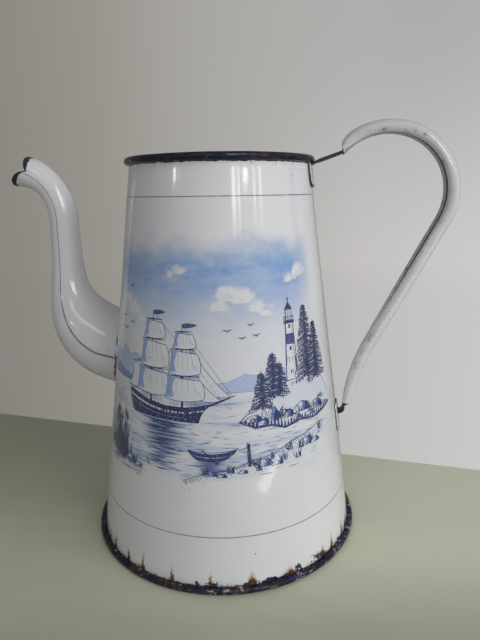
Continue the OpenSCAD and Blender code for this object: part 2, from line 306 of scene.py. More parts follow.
def rim_finish():
    """Navy on the bead, with worn patches and flecks, and a few dark drips below it."""
    f = Finish("navy_rim_enamel")
    edge = f.cloud(4, 4, 0.7) * 2.0
    rim = (f.z + edge).rise(236.15, 236.35)
    colour = f.mix(white_coat(f), navy(f, 5, 0.55, 0.75, 0.4), rim)
    drip = f.cloud(5, 5, 0.7).rise(0.55, 0.66) * (f.z + edge).rise(233.5, 236.0)
    colour = f.mix(colour, (0.20, 0.15, 0.12), drip * (1.0 - rim) * 0.6)
    worn = f.cloud(10, 5, 0.7, f.stretched(1, 1, 2)).rise(0.545, 0.60) * rim
    colour = f.mix(colour, f.mix(rusty(f, 2.5), NAVY, 0.45), worn)
    fleck = f.cloud(1.6, 3, 0.6).rise(0.66, 0.70) * f.cloud(16, 2).rise(0.5, 0.6) * rim
    colour = f.mix(colour, (0.30, 0.29, 0.33), fleck * 0.6)
    bare = (worn | fleck) * 0.7
    return glaze(f, colour, bare, 1.0 - bare, coat=0.0, mirror=NAVY_SHINE)


# Rust that has crept up the wall from the foot: degrees round the body, height and width in millimetres
CREEPS = [(-57, 7, 4), (-49, 7, 3), (-42, 8, 3.6), (-31, 7, 3), (-22, 8, 3.4), (-8, 6, 3), (8, 6, 3.2), (24, 5, 7),
          (40, 3, 9), (58, 6, 4.5), (65, 8, 4), (76, 9, 3.4), (84, 6, 4), (104, 8, 4), (131, 10, 4), (168, 8, 5),
          (-148, 10, 4), (-116, 9, 4), (-86, 8, 4)]


def foot_finish():
    """The wall's foot, where the white is chipped to rust with a tan halo and splashed with blue."""
    f = Finish("chipped_foot_enamel")
    outside = outside_of_wall(f)
    degrees = round_wall(f) + (f.cloud(2.4, 5, 0.8) - 0.5) * 5.0
    creep = None
    for at, tall, wide in CREEPS:
        this = (1.0 - abs(degrees - at) * (BASE_R * math.pi / 180 * 2 / wide)) * tall
        creep = creep | this if creep else this
    above = f.z - 3.4 + (f.cloud(1.6, 4, 0.8) - 0.5) * 7.0
    core = (above - (creep | f.cloud(7, 4, 0.7).rise(0.45, 0.75) * 2.6)).rise(0.6, -0.4) * outside
    halo = (above - creep * 1.3 - 1.0).rise(2.4, -1.6) * outside
    blue = (above + 0.6 - f.cloud(9, 4, 0.65).rise(0.46, 0.66) * f.x.rise(-45, 20) * 5.0).rise(0.5, -0.1) * outside
    colour = f.mix(white_coat(f), TAN, halo * 0.75)
    colour = f.mix(colour, navy(f, 4, 0.65, 0.4), blue)
    colour = f.mix(colour, f.mix(rusty(f, 1.6), RUST_LIGHT, (f.z + f.cloud(1.4, 2) * 3.0).rise(6.5, 9.0) * 0.6), core)
    bare = core | halo * 0.3
    return glaze(f, colour, bare, 1.0 - core)


def hem_finish():
    """Navy enamel of the base, worn through to rust and to its white ground."""
    f = Finish("navy_hem_enamel")
    # painted light: the navy turns bluer towards the window, and the pale chips, real wear, are thicker there to stand
    # in for highlights along the hem
    painted_light_side = f.x.rise(-70, 30)
    tone = f.mix(NAVY, COBALT, f.cloud(7, 4, 0.6).rise(0.48, 0.66) * (painted_light_side * 0.8 + 0.1))
    long = f.stretched(0.6, 0.6, 1.4)
    worn = f.cloud(2.6, 6, 0.75, long).rise(0.50, 0.55) * f.cloud(15, 3).rise(0.40, 0.52)
    chips = f.cloud(1.9, 5, 0.75, long).rise(0.55, 0.59) * (f.cloud(10, 2).rise(0.44, 0.54) * (painted_light_side * 0.6 + 0.4))
    colour = f.mix(f.mix(tone, rusty(f, 1.9), worn), f.mix(CHIP, TAN, f.cloud(3, 2).rise(0.4, 0.6) * 0.6), chips)
    # painted shade: near black low on the hem and foot ring, where they meet the table
    colour = f.mix(colour, (0.012, 0.011, 0.012), f.z.rise(1.3, 0.4) * 0.8)
    # the white floor inside the pot
    inside = (f.x * f.x + f.y * f.y).rise(81.5 ** 2, 80.5 ** 2) * f.z.rise(4.4, 4.8)
    colour = f.mix(colour, white_coat(f), inside)
    bare = (worn | chips * 0.6) * (1.0 - inside)
    return glaze(f, colour, bare, 1.0 - bare, coat=0.0, mirror=NAVY_SHINE)


def spout_finish():
    """White with a line along each side, a navy mouth and rust at the root."""
    f = Finish("white_spout_enamel")
    along, seam, lip = f.held("along"), f.held("from_seam"), f.held("lip")
    ragged = (f.cloud(3, 4, 0.7) - 0.5) * 0.8
    line = thin_line(f, (seam - 90.0) * 0.18) * along.rise(0.0, 1.5) * lip.rise(1.0, 1.4)
    colour = f.mix(white_coat(f), LINE_BLUE, line * 0.95)
    mouth = (lip + ragged).rise(1.05, 0.92)
    colour = f.mix(colour, navy(f, 4, 0.55, 0.75, 0.6), mouth)
    chips = f.cloud(2.6, 5, 0.7).rise(0.62, 0.66) * lip.rise(1.9, 0.6)
    colour = f.mix(colour, (0.42, 0.36, 0.36), chips * mouth * 0.8)
    root = (along + (f.cloud(4, 4, 0.7) - 0.5) * 2.6).rise(1.0, 0.3)
    specks = f.cloud(5.5, 2).rise(0.79, 0.81) | root
    colour = f.mix(colour, rusty(f, 2.2), specks * (1.0 - mouth))
    return glaze(f, colour, specks | chips * 0.4, 1.0 - specks, coat=(1.0 - mouth) * COAT)


def strap_finish():
    """White outside, with painted shade at the outer bend, in the hollow and on the flanks, some grime, navy ends and
    chips down to dark iron.
    """
    f = Finish("white_strap_enamel")
    to_end, hollow = f.held("to_end"), f.held("hollow")
    ends = (to_end + (f.cloud(3, 4, 0.7) - 0.5) * 1.6).rise(1.6, 0.9)
    # greyer at the outer bend: painted shade, where the crown faces up and away from the light
    bend = f.x.rise(98, 124) * f.z.rise(192, 214)
    colour = f.mix(white_coat(f), (0.50, 0.50, 0.505), bend * (1.0 - hollow) * 0.55)
    # painted shade inside the hollow and on the far curled edge
    colour = f.mix(colour, (0.43, 0.43, 0.44), hollow * (f.cloud(9, 4).rise(0.2, 0.6) * 0.3 + 0.55))
    # painted shade on the flanks, where the strap's sides turn from the light, broken into patches, with some grime
    grime = f.cloud(5, 5, 0.75).rise(0.52, 0.72) * f.held("grime")
    colour = f.mix(colour, (0.25, 0.24, 0.24), grime * 0.55)
    colour = f.mix(colour, NAVY, ends)
    spots = f.cloud(2.4, 4, 0.7).rise(0.42, 0.55) * f.held("worn")
    small = f.cloud(4.2, 2).rise(0.775, 0.80) * f.held("grime")
    colour = f.mix(colour, f.mix(rusty(f, 1.6), (0.10, 0.095, 0.095), 0.6), spots | small)
    return glaze(f, colour, spots | small, 1.0 - spots)


def bracket_finish():
    """White plates with navy edges, and navy strips worn to rust."""
    f = Finish("bracket_enamel")
    white = (f.held("white") + (f.cloud(2.2, 4, 0.7) - 0.5) * 0.5).rise(0.45, 0.6)
    worn = f.cloud(3.5, 5, 0.7).rise(0.50, 0.56) * (f.held("worn") | (1.0 - white) * 0.35)
    colour = f.mix(navy(f, 3, 0.55, 0.75, 0.5), WHITE, white)
    return glaze(f, f.mix(colour, rusty(f, 1.8), worn), worn)


def weld_finish():
    f = Finish("rusty_weld")
    shown = f.cloud(9, 4, 0.7).rise(0.50, 0.60)
    colour = f.mix(f.mix(NAVY, rusty(f, 2), f.cloud(4, 4).rise(0.4, 0.55)), WHITE, shown)
    return glaze(f, colour, (1.0 - shown) * 0.7)


def wire_finish():
    f = Finish("drawn_steel_wire")
    brown = f.cloud(6, 4).rise(0.45, 0.7)
    return f.finish(Base_Color=f.mix((0.32, 0.30, 0.28), RUST, brown), Metallic=1.0 - brown,
                    Roughness=f.cloud(3, 3) * 0.4 + 0.25)


def ink_finish():
    """The picture's inks, from bare white at 0 to the darkest blue at 1, under the same glaze."""
    f = Finish("blue_picture_ink")
    ink = f.held("ink")
    colour = f.ramp(ink, (0.0, (0.69, 0.70, 0.715)), (0.2, (0.36, 0.46, 0.70)), (0.5, (0.085, 0.145, 0.42)),
                    (0.8, (0.026, 0.042, 0.17)), (1.0, (0.014, 0.020, 0.080)))
    grain = f.cloud(1.3, 3, 0.7).rise(0.52, 0.75) * 0.35
    return glaze(f, f.mix(colour, WHITE, grain))


# ---------------------------------------------------------------- making pieces
SHARP = 38      # degrees between faces that makes an edge sharp


def placed(name, data):
    """A new object in the scene with that mesh, light or camera."""
    made = bpy.data.objects.new(name, data)
    bpy.context.scene.collection.objects.link(made)
    return made


def mesh_of(work, name):
    mesh = bpy.data.meshes.new(name)
    work.to_mesh(mesh)
    work.free()
    return mesh


def piece(name, points, faces, material, replaced=(), sharp=SHARP, numbers=None):
    """A smooth mesh piece of the pot, given in millimetres, with the numbers that its finish reads."""
    mesh = bpy.data.meshes.new(name)
    mesh.from_pydata([(x * MM, y * MM, z * MM) for x, y, z in points], [], faces)
    for key, values in (numbers or {}).items():
        mesh.attributes.new(key, "FLOAT", "POINT").data.foreach_set("value", values)
    work = bmesh.new()
    work.from_mesh(mesh)
    bmesh.ops.remove_doubles(work, verts=work.verts, dist=0.004 * MM)
    bmesh.ops.recalc_face_normals(work, faces=work.faces)
    work.to_mesh(mesh)
    work.free()
    made = placed(name, mesh)
    mesh.materials.append(material)
    mesh.shade_smooth()
    mesh.set_sharp_from_angle(angle=math.radians(sharp))
    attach(made, "root")
    if replaced:
        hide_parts(*replaced)
    return made


def ring_faces(rings, count, wrap_rings=False):
    """Quads between closed rings of count points each."""
    faces = []
    for i in range(rings if wrap_rings else rings - 1):
        a, b = i * count, (i + 1) % rings * count
        faces += [(a + j, a + (j + 1) % count, b + (j + 1) % count, b + j) for j in range(count)]
    return faces


def lathe(profile, sides, uneven=None):
    """Points of a profile of (r, z) turned round the axis, ring by ring round the body."""
    points = []
    for k in range(sides):
        a = 2 * math.pi * k / sides
        for r, z in profile:
            x, y = math.sin(a), -math.cos(a)
            if uneven:
                r, z = uneven(r, z, x, y)
            points.append((r * x, r * y, z))
    return points


def closed(section, sides):
    return ring_faces(sides, len(section), True)


# ---------------------------------------------------------------- body
WALL_FOOT, WALL_HEAD = 2.45, 235.4      # where the wall goes into the hem and into the bead
FOOT_BAND, RIM_BAND = 17.0, 232.5       # heights between which the wall has its own finish
DENT = 0.28
HOLE_R, HOLE_PITCH, PUNCH_L = 2.0, 8.5, 14.0


def bulge(x, y, z):
    """How far the wall stands off its true cone, in the direction (x, y) at height z."""
    return wobble(x * 60, y * 60, z, 55) * DENT * smooth_step(3, 30, z) * smooth_step(236, 232, z)


def make_body(finish, foot, rim):
    outer = [(wall_r(z), z) for z in [WALL_FOOT] + spread(3.6, 12, 6) + spread(13.5, WALL_HEAD, 140)]
    bead = [polar((BEAD_MID, BEAD_Z), BEAD_R, a) for a in spread(-104, 180, 34)]
    inner = [(COLLAR_R, z) for z in (BEAD_Z - COLLAR_H / 2, BEAD_Z - COLLAR_H)]
    inner += [(wall_r(z) - WALL_T, z) for z in spread(228.5, WALL_FOOT, 60)]
    profile = outer + bead + inner
    sides = 300

    def uneven(r, z, x, y):
        """The rim has lumps of enamel and isn't quite level."""
        at_rim = smooth_step(232, 236, z)
        lumps = wobble(x * r, y * r, z, 3.2) * 0.14 * at_rim if r > BEAD_MID - 1 else 0
        return r + bulge(x, y, z) + lumps, z + wobble(x * r, y * r, 7, 16) * 0.12 * at_rim

    body = piece("body_wall_enamel", lathe(profile, sides, uneven), closed(profile, sides), finish,
                 ["body_wall"])
    punch_holes(body)
    body.data.materials.append(foot)
    body.data.materials.append(rim)
    for face in body.data.polygons:
        height = face.center.z / MM
        face.material_index = 1 if height < FOOT_BAND else 2 if height > RIM_BAND else 0


def punch_holes(body):
    """Strainer holes through the wall behind the spout."""
    work = bmesh.new()
    for q in range(-2, 3):
        for p in range(-2, 3):
            if abs(p + q) <= 2:
                at = Matrix.Translation(Vector((-wall_r(SPOUT_ROOT_Z), (p + q / 2) * HOLE_PITCH,
                                                SPOUT_ROOT_Z + q * HOLE_PITCH * math.sqrt(3) / 2)) * MM)
                bmesh.ops.create_cone(work, cap_ends=True, segments=28, radius1=HOLE_R * MM, radius2=HOLE_R * MM,
                                      depth=PUNCH_L * MM, matrix=at @ Matrix.Rotation(math.pi / 2, 4, "Y"))
    punches = placed("punches", mesh_of(work, "punches"))
    cut = body.modifiers.new("punched", "BOOLEAN")
    cut.object, cut.operation, cut.solver = punches, "DIFFERENCE", "EXACT"
    bpy.context.view_layer.update()
    done = bpy.data.meshes.new_from_object(body.evaluated_get(bpy.context.evaluated_depsgraph_get()))
    body.modifiers.clear()
    body.data = done
    bpy.data.objects.remove(punches)
    done.shade_smooth()
    done.set_sharp_from_angle(angle=math.radians(SHARP))


def make_base(finish):
    """The pressed bottom, its foot ring and the hem folded over the wall's foot."""
    hem_round = HEM_H / 2
    lip = wall_r(HEM_H) + 0.15
    under = PAN_TOP - PAN_T
    turn, foot_round = 1.6, 0.7
    flat = (0.0, 20, 45, 70)
    profile = [(r, under) for r in flat] + [(FOOT_R - turn, under)]
    profile += [polar((FOOT_R - turn, under - turn), turn, a) for a in spread(75, 0, 5)]
    profile += [polar((FOOT_R + foot_round, foot_round), foot_round, a) for a in spread(180, 270, 5)]
    profile += [polar((HEM_R - hem_round, hem_round), hem_round, a) for a in spread(-90, 90, 16)]
    profile += [(lip + 0.5, HEM_H - 0.02), (lip, HEM_H - 0.25), (lip, HEM_H - PAN_T), (HEM_R - PAN_T, HEM_H - PAN_T),
                (HEM_R - PAN_T, PAN_T), (FOOT_R + PAN_T, PAN_T), (FOOT_R + PAN_T - 0.5, PAN_TOP)]
    profile += [(r, PAN_TOP) for r in flat[::-1]]
    sides = 360

    def uneven(r, z, x, y):
        """The hem's outer face is dented, and what stands on the table is flat."""
        if r < HEM_R - 3.6 or z < 0.6:
            return r, z
        top = smooth_step(2.2, 3.6, z)
        bumps = wobble(x * r, y * r, z, 4.5) * 0.30 + wobble(x * r, y * r, z, 1.6) * 0.12
        return r + min(0.0, bumps * 1.4), z + bumps * 0.8 * top

    points = lathe(profile, sides, uneven)
    faces = []
    count = len(profile)
    for k in range(sides):
        a, b = k * count, (k + 1) % sides * count
        faces += [(a + j, a + j + 1, b + j + 1, b + j) for j in range(count - 1)]
    piece("base_pan_enamel", points, faces, finish, ["base_pan"])


# ---------------------------------------------------------------- spout
SPOUT_ROOT_Z, SPOUT_ROOT_D, PIPE_D, MOUTH_D, SPOUT_T = 115.0, 50.0, 21.2, 18.0, 1.1
SPOUT_OUT, BEND_H, MOUTH_DROP, NECK_R, NECK_TURN = 39.5, 48.0, 7.5, 32.0, 65.0
LOWER_LIP, UPPER_LIP, ROOT_INSET = 15.2, 5.8, 4.2
NOTCH_AT, NOTCH_ON, MOUTH_BELL = 99.0, 1.3, 0.85
SEAM_H, SEAM_TURN, FLARE_L, FAR_FROM_LIP = 0.28, 4.5, 8.0, 50.0
BEND_RX = SPOUT_OUT + ROOT_INSET
RISER_X = -wall_r(SPOUT_ROOT_Z) - SPOUT_OUT
RISER_Z = SPOUT_ROOT_Z + BEND_H
NECK_Z = BODY_H - MOUTH_DROP - NECK_R * math.sin(math.radians(NECK_TURN))
BEND_L = math.pi / 4 * (BEND_RX + BEND_H)
RISER_L = NECK_Z - RISER_Z
NECK_L = NECK_R * math.radians(NECK_TURN)
PIPE_L = BEND_L + RISER_L + NECK_L


def spout_station(s):
    """x, z and heading in degrees at distance s along the spout's middle line."""
    if s < BEND_L:
        a = math.pi / 2 * s / BEND_L
        return (RISER_X + BEND_RX * (1 - math.sin(a)), RISER_Z - BEND_H * math.cos(a),
                math.degrees(math.atan2(BEND_H * math.sin(a), -BEND_RX * math.cos(a))))
    if s < BEND_L + RISER_L:
        return RISER_X, RISER_Z + s - BEND_L, 90.0
    a = math.degrees((s - BEND_L - RISER_L) / NECK_R)
    x, z = polar((RISER_X - NECK_R, NECK_Z), NECK_R, a)
    return x, z, 90.0 + a


def pipe_r(s):
    thin = PIPE_D + (MOUTH_D - PIPE_D) * min(1.0, s / PIPE_L)
    root = (SPOUT_ROOT_D - thin) / (1 + math.exp((s - 0.74 * BEND_L) / (0.137 * BEND_L)))
    return (thin + root) / 2 + MOUTH_BELL * smooth_step(PIPE_L - 14, PIPE_L + 4, s)


def pipe_point(s, r, a):
    x, z, heading = spout_station(s)
    h, u = math.radians(heading), r * math.cos(math.radians(a))
    return x - u * math.sin(h), -r * math.sin(math.radians(a)), z + u * math.cos(h)


def root_point(r, a):
    y, z = polar((0, SPOUT_ROOT_Z), r, a - 90)
    w = wall_r(z) + 0.1
    return -math.sqrt(w * w - y * y), -y, z


def lip_length(a):
    """How far the edge of the mouth lies beyond the pipe's end, at a degrees from its underside."""
    a = min(a, 360 - a)
    low = a < NOTCH_AT
    share = a / NOTCH_AT if low else (180 - a) / (180 - NOTCH_AT)
    return NOTCH_ON + (LOWER_LIP if low else UPPER_LIP) * math.cos(math.pi / 2 * share) ** 0.6


def mouth_band(turn):
    """Width of the navy band round the mouth, at that many degrees from the pipe's underside."""
    if turn < NOTCH_AT:
        return 1.2 + 4.0 * (1 - (turn / NOTCH_AT) ** 4)
    return 1.2 + 2.4 * (1 - ((180 - turn) / (180 - NOTCH_AT)) ** 4)


def seam_height(a):
    off = min(abs(a), abs(a - 180), abs(a - 360))
    return SEAM_H * math.exp(-(off / SEAM_TURN) ** 2)


def make_spout(finish, weld):
    """Both pressed halves as one enamelled skin, with the raised seam between them."""
    around = [k * 360 / 96 for k in range(96)]
    first = 3 / 14 * BEND_L
    lip_from = PIPE_L - 12
    half = SPOUT_T / 2

    def corner(a, s, depth):
        """A point of the skin, then how far it is along the spout, round from its seam and from its lip."""
        edge = PIPE_L + lip_length(a)
        r = pipe_r(s) - depth + seam_height(a) * (depth == 0)
        turn = min(a, 360 - a)
        return Vector(pipe_point(s, r, a)), FLARE_L + s - first, turn, (edge - s) / mouth_band(turn)

    def skin(depth, short):
        """Rows of the skin at that depth, from the wall to a little short of the mouth's edge."""
        rows = []
        for t in spread(0, 1, 5)[:-1]:
            flare = []
            for a in around:
                start = Vector(root_point(SPOUT_ROOT_D / 2 - depth, a))
                flare.append((start.lerp(corner(a, first, depth)[0], t), FLARE_L * t, min(a, 360 - a), FAR_FROM_LIP))
            rows.append(flare)
        for s in spread(first, lip_from, 84):
            rows.append([corner(a, s, depth) for a in around])
        for t in spread(0, 1, 26)[1:]:
            rows.append([corner(a, lip_from + (PIPE_L + lip_length(a) - short - lip_from) * t, depth) for a in around])
        return rows

    rounded = [skin(half - half * math.cos(t), half - half * math.sin(t))[-1] for t in spread(0, math.pi, 6)[1:-1]]
    rows = skin(0, half) + rounded + skin(SPOUT_T, half)[::-1]
    flat = [held for ring in rows for held in ring]
    numbers = dict(zip(("along", "from_seam", "lip"), zip(*(held[1:] for held in flat))))
    piece("spout_enamel", [tuple(held[0]) for held in flat], ring_faces(len(rows), len(around), True),
          finish, ["spout_near_half", "spout_far_half"], sharp=60, numbers=numbers)
    joint = [root_point(SPOUT_ROOT_D / 2 + 0.35, k * 3) for k in range(120)]
    tube(joint, lambda k: 0.85 + 0.22 * wobble(*joint[k], 3), "spout_weld", weld)


def tube(path, radius, name, finish, sides=12):
    """A closed round bar along a path of points."""
    points = []
    for k, p in enumerate(path):
        ahead = (Vector(path[(k + 1) % len(path)]) - Vector(path[k - 1])).normalized()
        side = ahead.cross(Vector((p[0], p[1], 0))).normalized()
        out = side.cross(ahead).normalized()
        for j in range(sides):
            t = 2 * math.pi * j / sides
            points.append(tuple(Vector(p) + (out * math.cos(t) + side * math.sin(t)) * radius(k)))
    piece(name, points, ring_faces(len(path), sides, True), finish)


# ---------------------------------------------------------------- handle
STRAP_W, STRAP_D, STRAP_T, TIP_W, TAIL_W = 23.0, 7.3, 1.3, 13.0, 10.0
BOW_R, BOW_OUT, BOW_DROP, SWEEP_R, FOOT_LEAN, FOOT_Z, FOOT_OUT = 33.0, 42.0, 22.0, 115.0, 5.0, 86.0, 4.6
BOW_START, END_SLANT = 139.0, 3.2
CROWN_POWER = 0.75      # 1 would make the crown's cross section half an ellipse, and less makes it squarer
BOW_C = (wall_r(BODY_H - BOW_DROP) + BOW_OUT, BODY_H - BOW_DROP)
FOOT_P = (wall_r(FOOT_Z) + FOOT_OUT, FOOT_Z)
SWEEP_C = polar(FOOT_P, SWEEP_R, -FOOT_LEAN)
ACROSS = (SWEEP_C[0] - BOW_C[0], SWEEP_C[1] - BOW_C[1])
BOW_END = math.degrees(math.atan2(ACROSS[1], ACROSS[0]) + math.acos((BOW_R + SWEEP_R) / math.hypot(*ACROSS)))
SHANK_A, SHANK_B = polar(BOW_C, BOW_R, BOW_END), polar(SWEEP_C, SWEEP_R, BOW_END + 180)
BOW_L = BOW_R * math.radians(BOW_START - BOW_END)
SHANK_L = math.dist(SHANK_A, SHANK_B)
SWEEP_L = SWEEP_R * math.radians(-FOOT_LEAN - BOW_END)
STRAP_L = BOW_L + SHANK_L + SWEEP_L


def strap_station(s):
    """x, z and the angle that the crown faces, at distance s along the strap."""
    if s < BOW_L:
        a = BOW_START - math.degrees(s / BOW_R)
        return (*polar(BOW_C, BOW_R, a), a)
    if s < BOW_L + SHANK_L:
        t = (s - BOW_L) / SHANK_L
        return (SHANK_A[0] + (SHANK_B[0] - SHANK_A[0]) * t, SHANK_A[1] + (SHANK_B[1] - SHANK_A[1]) * t, BOW_END)
    a = BOW_END + (-FOOT_LEAN - BOW_END) * (s - BOW_L - SHANK_L) / SWEEP_L
    return (*polar(SWEEP_C, SWEEP_R, a + 180), a)


def round_up(t):
    """From 0 up to 1 as a quarter circle rises."""
    u = 1 - min(1.0, max(0.0, t))
    return math.sqrt(1 - u * u)


def strap_width(s):
    share = s / STRAP_L
    return TIP_W + (STRAP_W - TIP_W) * smooth_step(0, 0.3, share) - (STRAP_W - TAIL_W) * smooth_step(0.45, 1, share)


def strap_depth(s):
    return STRAP_D * (1 + round_up(s / 12)) * (1 + round_up((STRAP_L - s) / 38)) / 4


def strap_section(w, d):
    """Middle line of the rolled sheet, from one curled edge over the crown to the other."""
    curl = min(1.5, d / 3)
    base = curl + STRAP_T / 2
    half = w / 2 - STRAP_T / 2
    top = d - STRAP_T / 2 - base
    line = [polar((curl - half, base), curl, -a) for a in spread(20, 180, 8)]
    for a in spread(0, 180, 32)[1:-1]:
        c, s = polar((0, 0), 1, a)
        line.append((-half * math.copysign(abs(c) ** CROWN_POWER, c), base + top * s ** CROWN_POWER))
    return line + [polar((half - curl, base), curl, -a) for a in spread(0, 160, 8)]


def sheet_outline(line, t):
    """Both faces of a sheet of thickness t whose middle follows the line."""
    sides = ([], [])
    for i, (v, u) in enumerate(line):
        a, b = line[max(0, i - 1)], line[min(len(line) - 1, i + 1)]
        dv, du = b[0] - a[0], b[1] - a[1]
        n = math.hypot(dv, du) or 1
        sides[0].append((v - du / n * t / 2, u + dv / n * t / 2))
        sides[1].append((v + du / n * t / 2, u - dv / n * t / 2))
    return sides[0] + sides[1][::-1]


# Where the strap's enamel has chipped: place and radius
STRAP_CHIPS = [((96.2, -8.0, 252.3), 2.4), ((117.9, -10.3, 248.8), 1.5), ((113.0, -9.9, 250.3), 1.3),
               ((128.3, -10.4, 234.1), 1.8), ((131.9, 8.3, 211.6), 1.6), ((114.2, 6.8, 172.9), 2.0),
               ((86.8, -5.9, 113.6), 2.8)]


def make_strap(finish):
    """The rolled strap, with numbers for its chipped ends, its painted shade in the hollow, its flanks' grime and
    painted shade, and its worn spots.
    """
    stops = spread(0, 14, 16) + spread(16, STRAP_L - 40, 110) + spread(STRAP_L - 38, STRAP_L, 30)
    points = []
    numbers = {"to_end": [], "hollow": [], "grime": [], "worn": []}
    for s in stops:
        w, d = strap_width(s), strap_depth(s)
        outline = sheet_outline(strap_section(w, d), STRAP_T)
        half = len(outline) // 2
        for i, (v, u) in enumerate(outline):
            shift = END_SLANT * u / d * max(0.0, 1 - s / 16)
            x, z, facing = strap_station(s + shift)
            p = (*polar((x, z), u, facing), v)
            points.append((p[0], p[2], p[1]))
            numbers["to_end"].append(min(s, STRAP_L - s))
            # the inside of the sheet and the far curled edge get painted shade
            inner = i >= half and 6 < i - half < half - 6
            far_curl_shade = smooth_step(w * 0.20, w * 0.36, v) * smooth_step(4.4, 2.4, u)
            numbers["hollow"].append(max(float(inner), far_curl_shade))
            # 1 near the curled edges, for the flanks' grime and painted shade and for the small chips
            numbers["grime"].append(1 - smooth_step(0.25, 0.6, u / d))
            numbers["worn"].append(max([0.0] + [1 - math.dist(points[-1], at) / r for at, r in STRAP_CHIPS]))
    count = len(points) // len(stops)
    faces = ring_faces(len(stops), count)
    half = count // 2
    # the sheet's two cut ends
    for start, flip in ((0, 1), ((len(stops) - 1) * count, -1)):
        for j in range(half - 1):
            k = count - 1 - j
            faces.append((start + j, start + j + 1, start + k - 1, start + k)[::flip])
    piece("handle_strap_enamel", points, faces, finish, ["handle_strap"], sharp=50, numbers=numbers)


# ---------------------------------------------------------------- brackets
STRIP_T, TAB_W, TAB_H, TAB_BEND, TONGUE_W = 1.4, 16.0, 14.0, 0.45, 7.0
LEG_W, LEG_H, PEG_DROP, PEG_W, GRIP_L = 12.0, 14.0, 3.0, 5.0, 8.0
STRIP_U = STRIP_T / 2 + GAP
BEAD_TURN, EASED_TO, STRIP_STEP = 37.0, 16.5, 0.6
# A plate's rounded edge: how far in, how far off the wall and how white
PLATE_EDGE = ((0.0, GAP, 0), (0.0, 0.75, 0.3), (0.22, 1.15, 0.45), (0.6, 1.36, 0.6),
              (1.2, 1.4, 0.8), (2.0, 1.4, 1), (3.6, 1.36, 1), (5.0, 1.34, 1))


def turn_path(start, r, to, steps):
    """Points of a bend that begins at (x, z, heading), turning left round the radius."""
    x, z, heading = start
    middle = polar((x, z), r, heading + 90)
    return [(*polar(middle, r, a - 90), a) for a in spread(heading, to, steps)[1:]]


def plate_rings(z0, z1, w, bend=1.0):
    """Rings of a plate on the wall from z0 up to z1, and how white each is.

    Its lower end is a half circle where bend is 1, and squarer where bend is less."""
    half = w / 2
    middle = (0.0, (z0 + half + z1) / 2)
    outline = [(math.copysign(abs(math.cos(a)) ** bend, math.cos(a)) * half, z0 + half * (1 - abs(math.sin(a)) ** bend))
               for a in spread(math.pi, 2 * math.pi, 24)]
    outline += [(half, z) for z in spread(z0 + half + 1, z1, 5)]
    outline += [(v, z1) for v in spread(half - 1.5, 1.5 - half, 8)]
    outline += [(-half, z) for z in spread(z1, z0 + half + 1, 5)]
    rings = []
    for inset, depth, white in PLATE_EDGE:
        ring = []
        for v, z in outline:
            away = math.dist((v, z), middle)
            k = max(0.0, 1 - inset / away)
            v2, z2 = v * k, middle[1] + (z - middle[1]) * k
            ring.append((math.sqrt((wall_r(z2) + depth) ** 2 - v2 * v2), v2, z2))
        rings.append((ring, white))
    return rings


def bracket(name, plate, path, w, finish, node, thick, dark_end=0.0, whiter=0.0, rust=0.15):
    """A plate on the wall and the strip that leaves it, in one mesh.

    thick is a place (x, z), a reach round it and how much more each face of the strip stands out
    there. The plate is dark at its lower end up to dark_end, and whiter or rustier all over."""
    rings = plate_rings(*plate)
    count = len(rings[0][0])
    points = [p for ring, _ in rings for p in ring]
    white = [(tone + whiter) * smooth_step(-1.0, dark_end, p[2] - plate[0]) for ring, tone in rings for p in ring]
    faces = ring_faces(len(rings), count)
    faces.append(tuple(range((len(rings) - 1) * count, len(rings) * count)))
    faces.append(tuple(range(count))[::-1])
    start = len(points)
    at_x, at_z, reach, extra = thick
    round_r = 0.5
    for x, z, heading in path:
        up = math.radians(heading + 90)
        half_t = STRIP_T / 2 + extra * smooth_step(reach, reach * 0.55, math.dist((x, z), (at_x, at_z)))
        corner = [polar((w / 2 - round_r, half_t - round_r), round_r, a) for a in spread(90, 0, 4)]
        section = corner + [(v, -u) for v, u in corner[::-1]]
        section += [(-v, -u) for v, u in section[:len(corner)]] + [(-v, u) for v, u in corner[::-1]]
        points += [(x + u * math.cos(up), v, z + u * math.sin(up)) for v, u in section]
    white += [0.0] * (len(points) - start)
    side = len(section)
    faces += [tuple(start + i for i in face) for face in ring_faces(len(path), side)]
    faces += [tuple(range(start, start + side))[::-1], tuple(range(len(points) - side, len(points)))]
    worn = [smooth_step(4.0, 0.0, abs(p[2] - (plate[1] - 1.5))) * 0.7 + rust * (1.0 if i >= start else 0.5)
            for i, p in enumerate(points)]
    piece(name, points, faces, finish, [node], sharp=55, numbers={"white": white, "worn": worn})


def crown_path(path, side, at, w):
    """The path with a bend towards the strap's crown and a leg up to it."""
    turn = 0.8 * STRIP_T
    bend = turn_path(path[-1], side * turn, path[-1][2] + side * 90, 6)
    lift = under_crown(at, w / 2) - STRIP_U - turn
    x, z, heading = bend[-1]
    end = polar((x, z), lift, heading)
    return path + bend + [(end[0], end[1], heading)]


def under_crown(s, v):
    """Height under the strap's sheet, that far beside its middle."""
    w, d = strap_width(s) / 2 - STRAP_T, strap_depth(s) - STRAP_T
    c = min(1.0, v / w) ** (1 / CROWN_POWER)
    return d * (1 - c * c) ** (CROWN_POWER / 2) - GAP


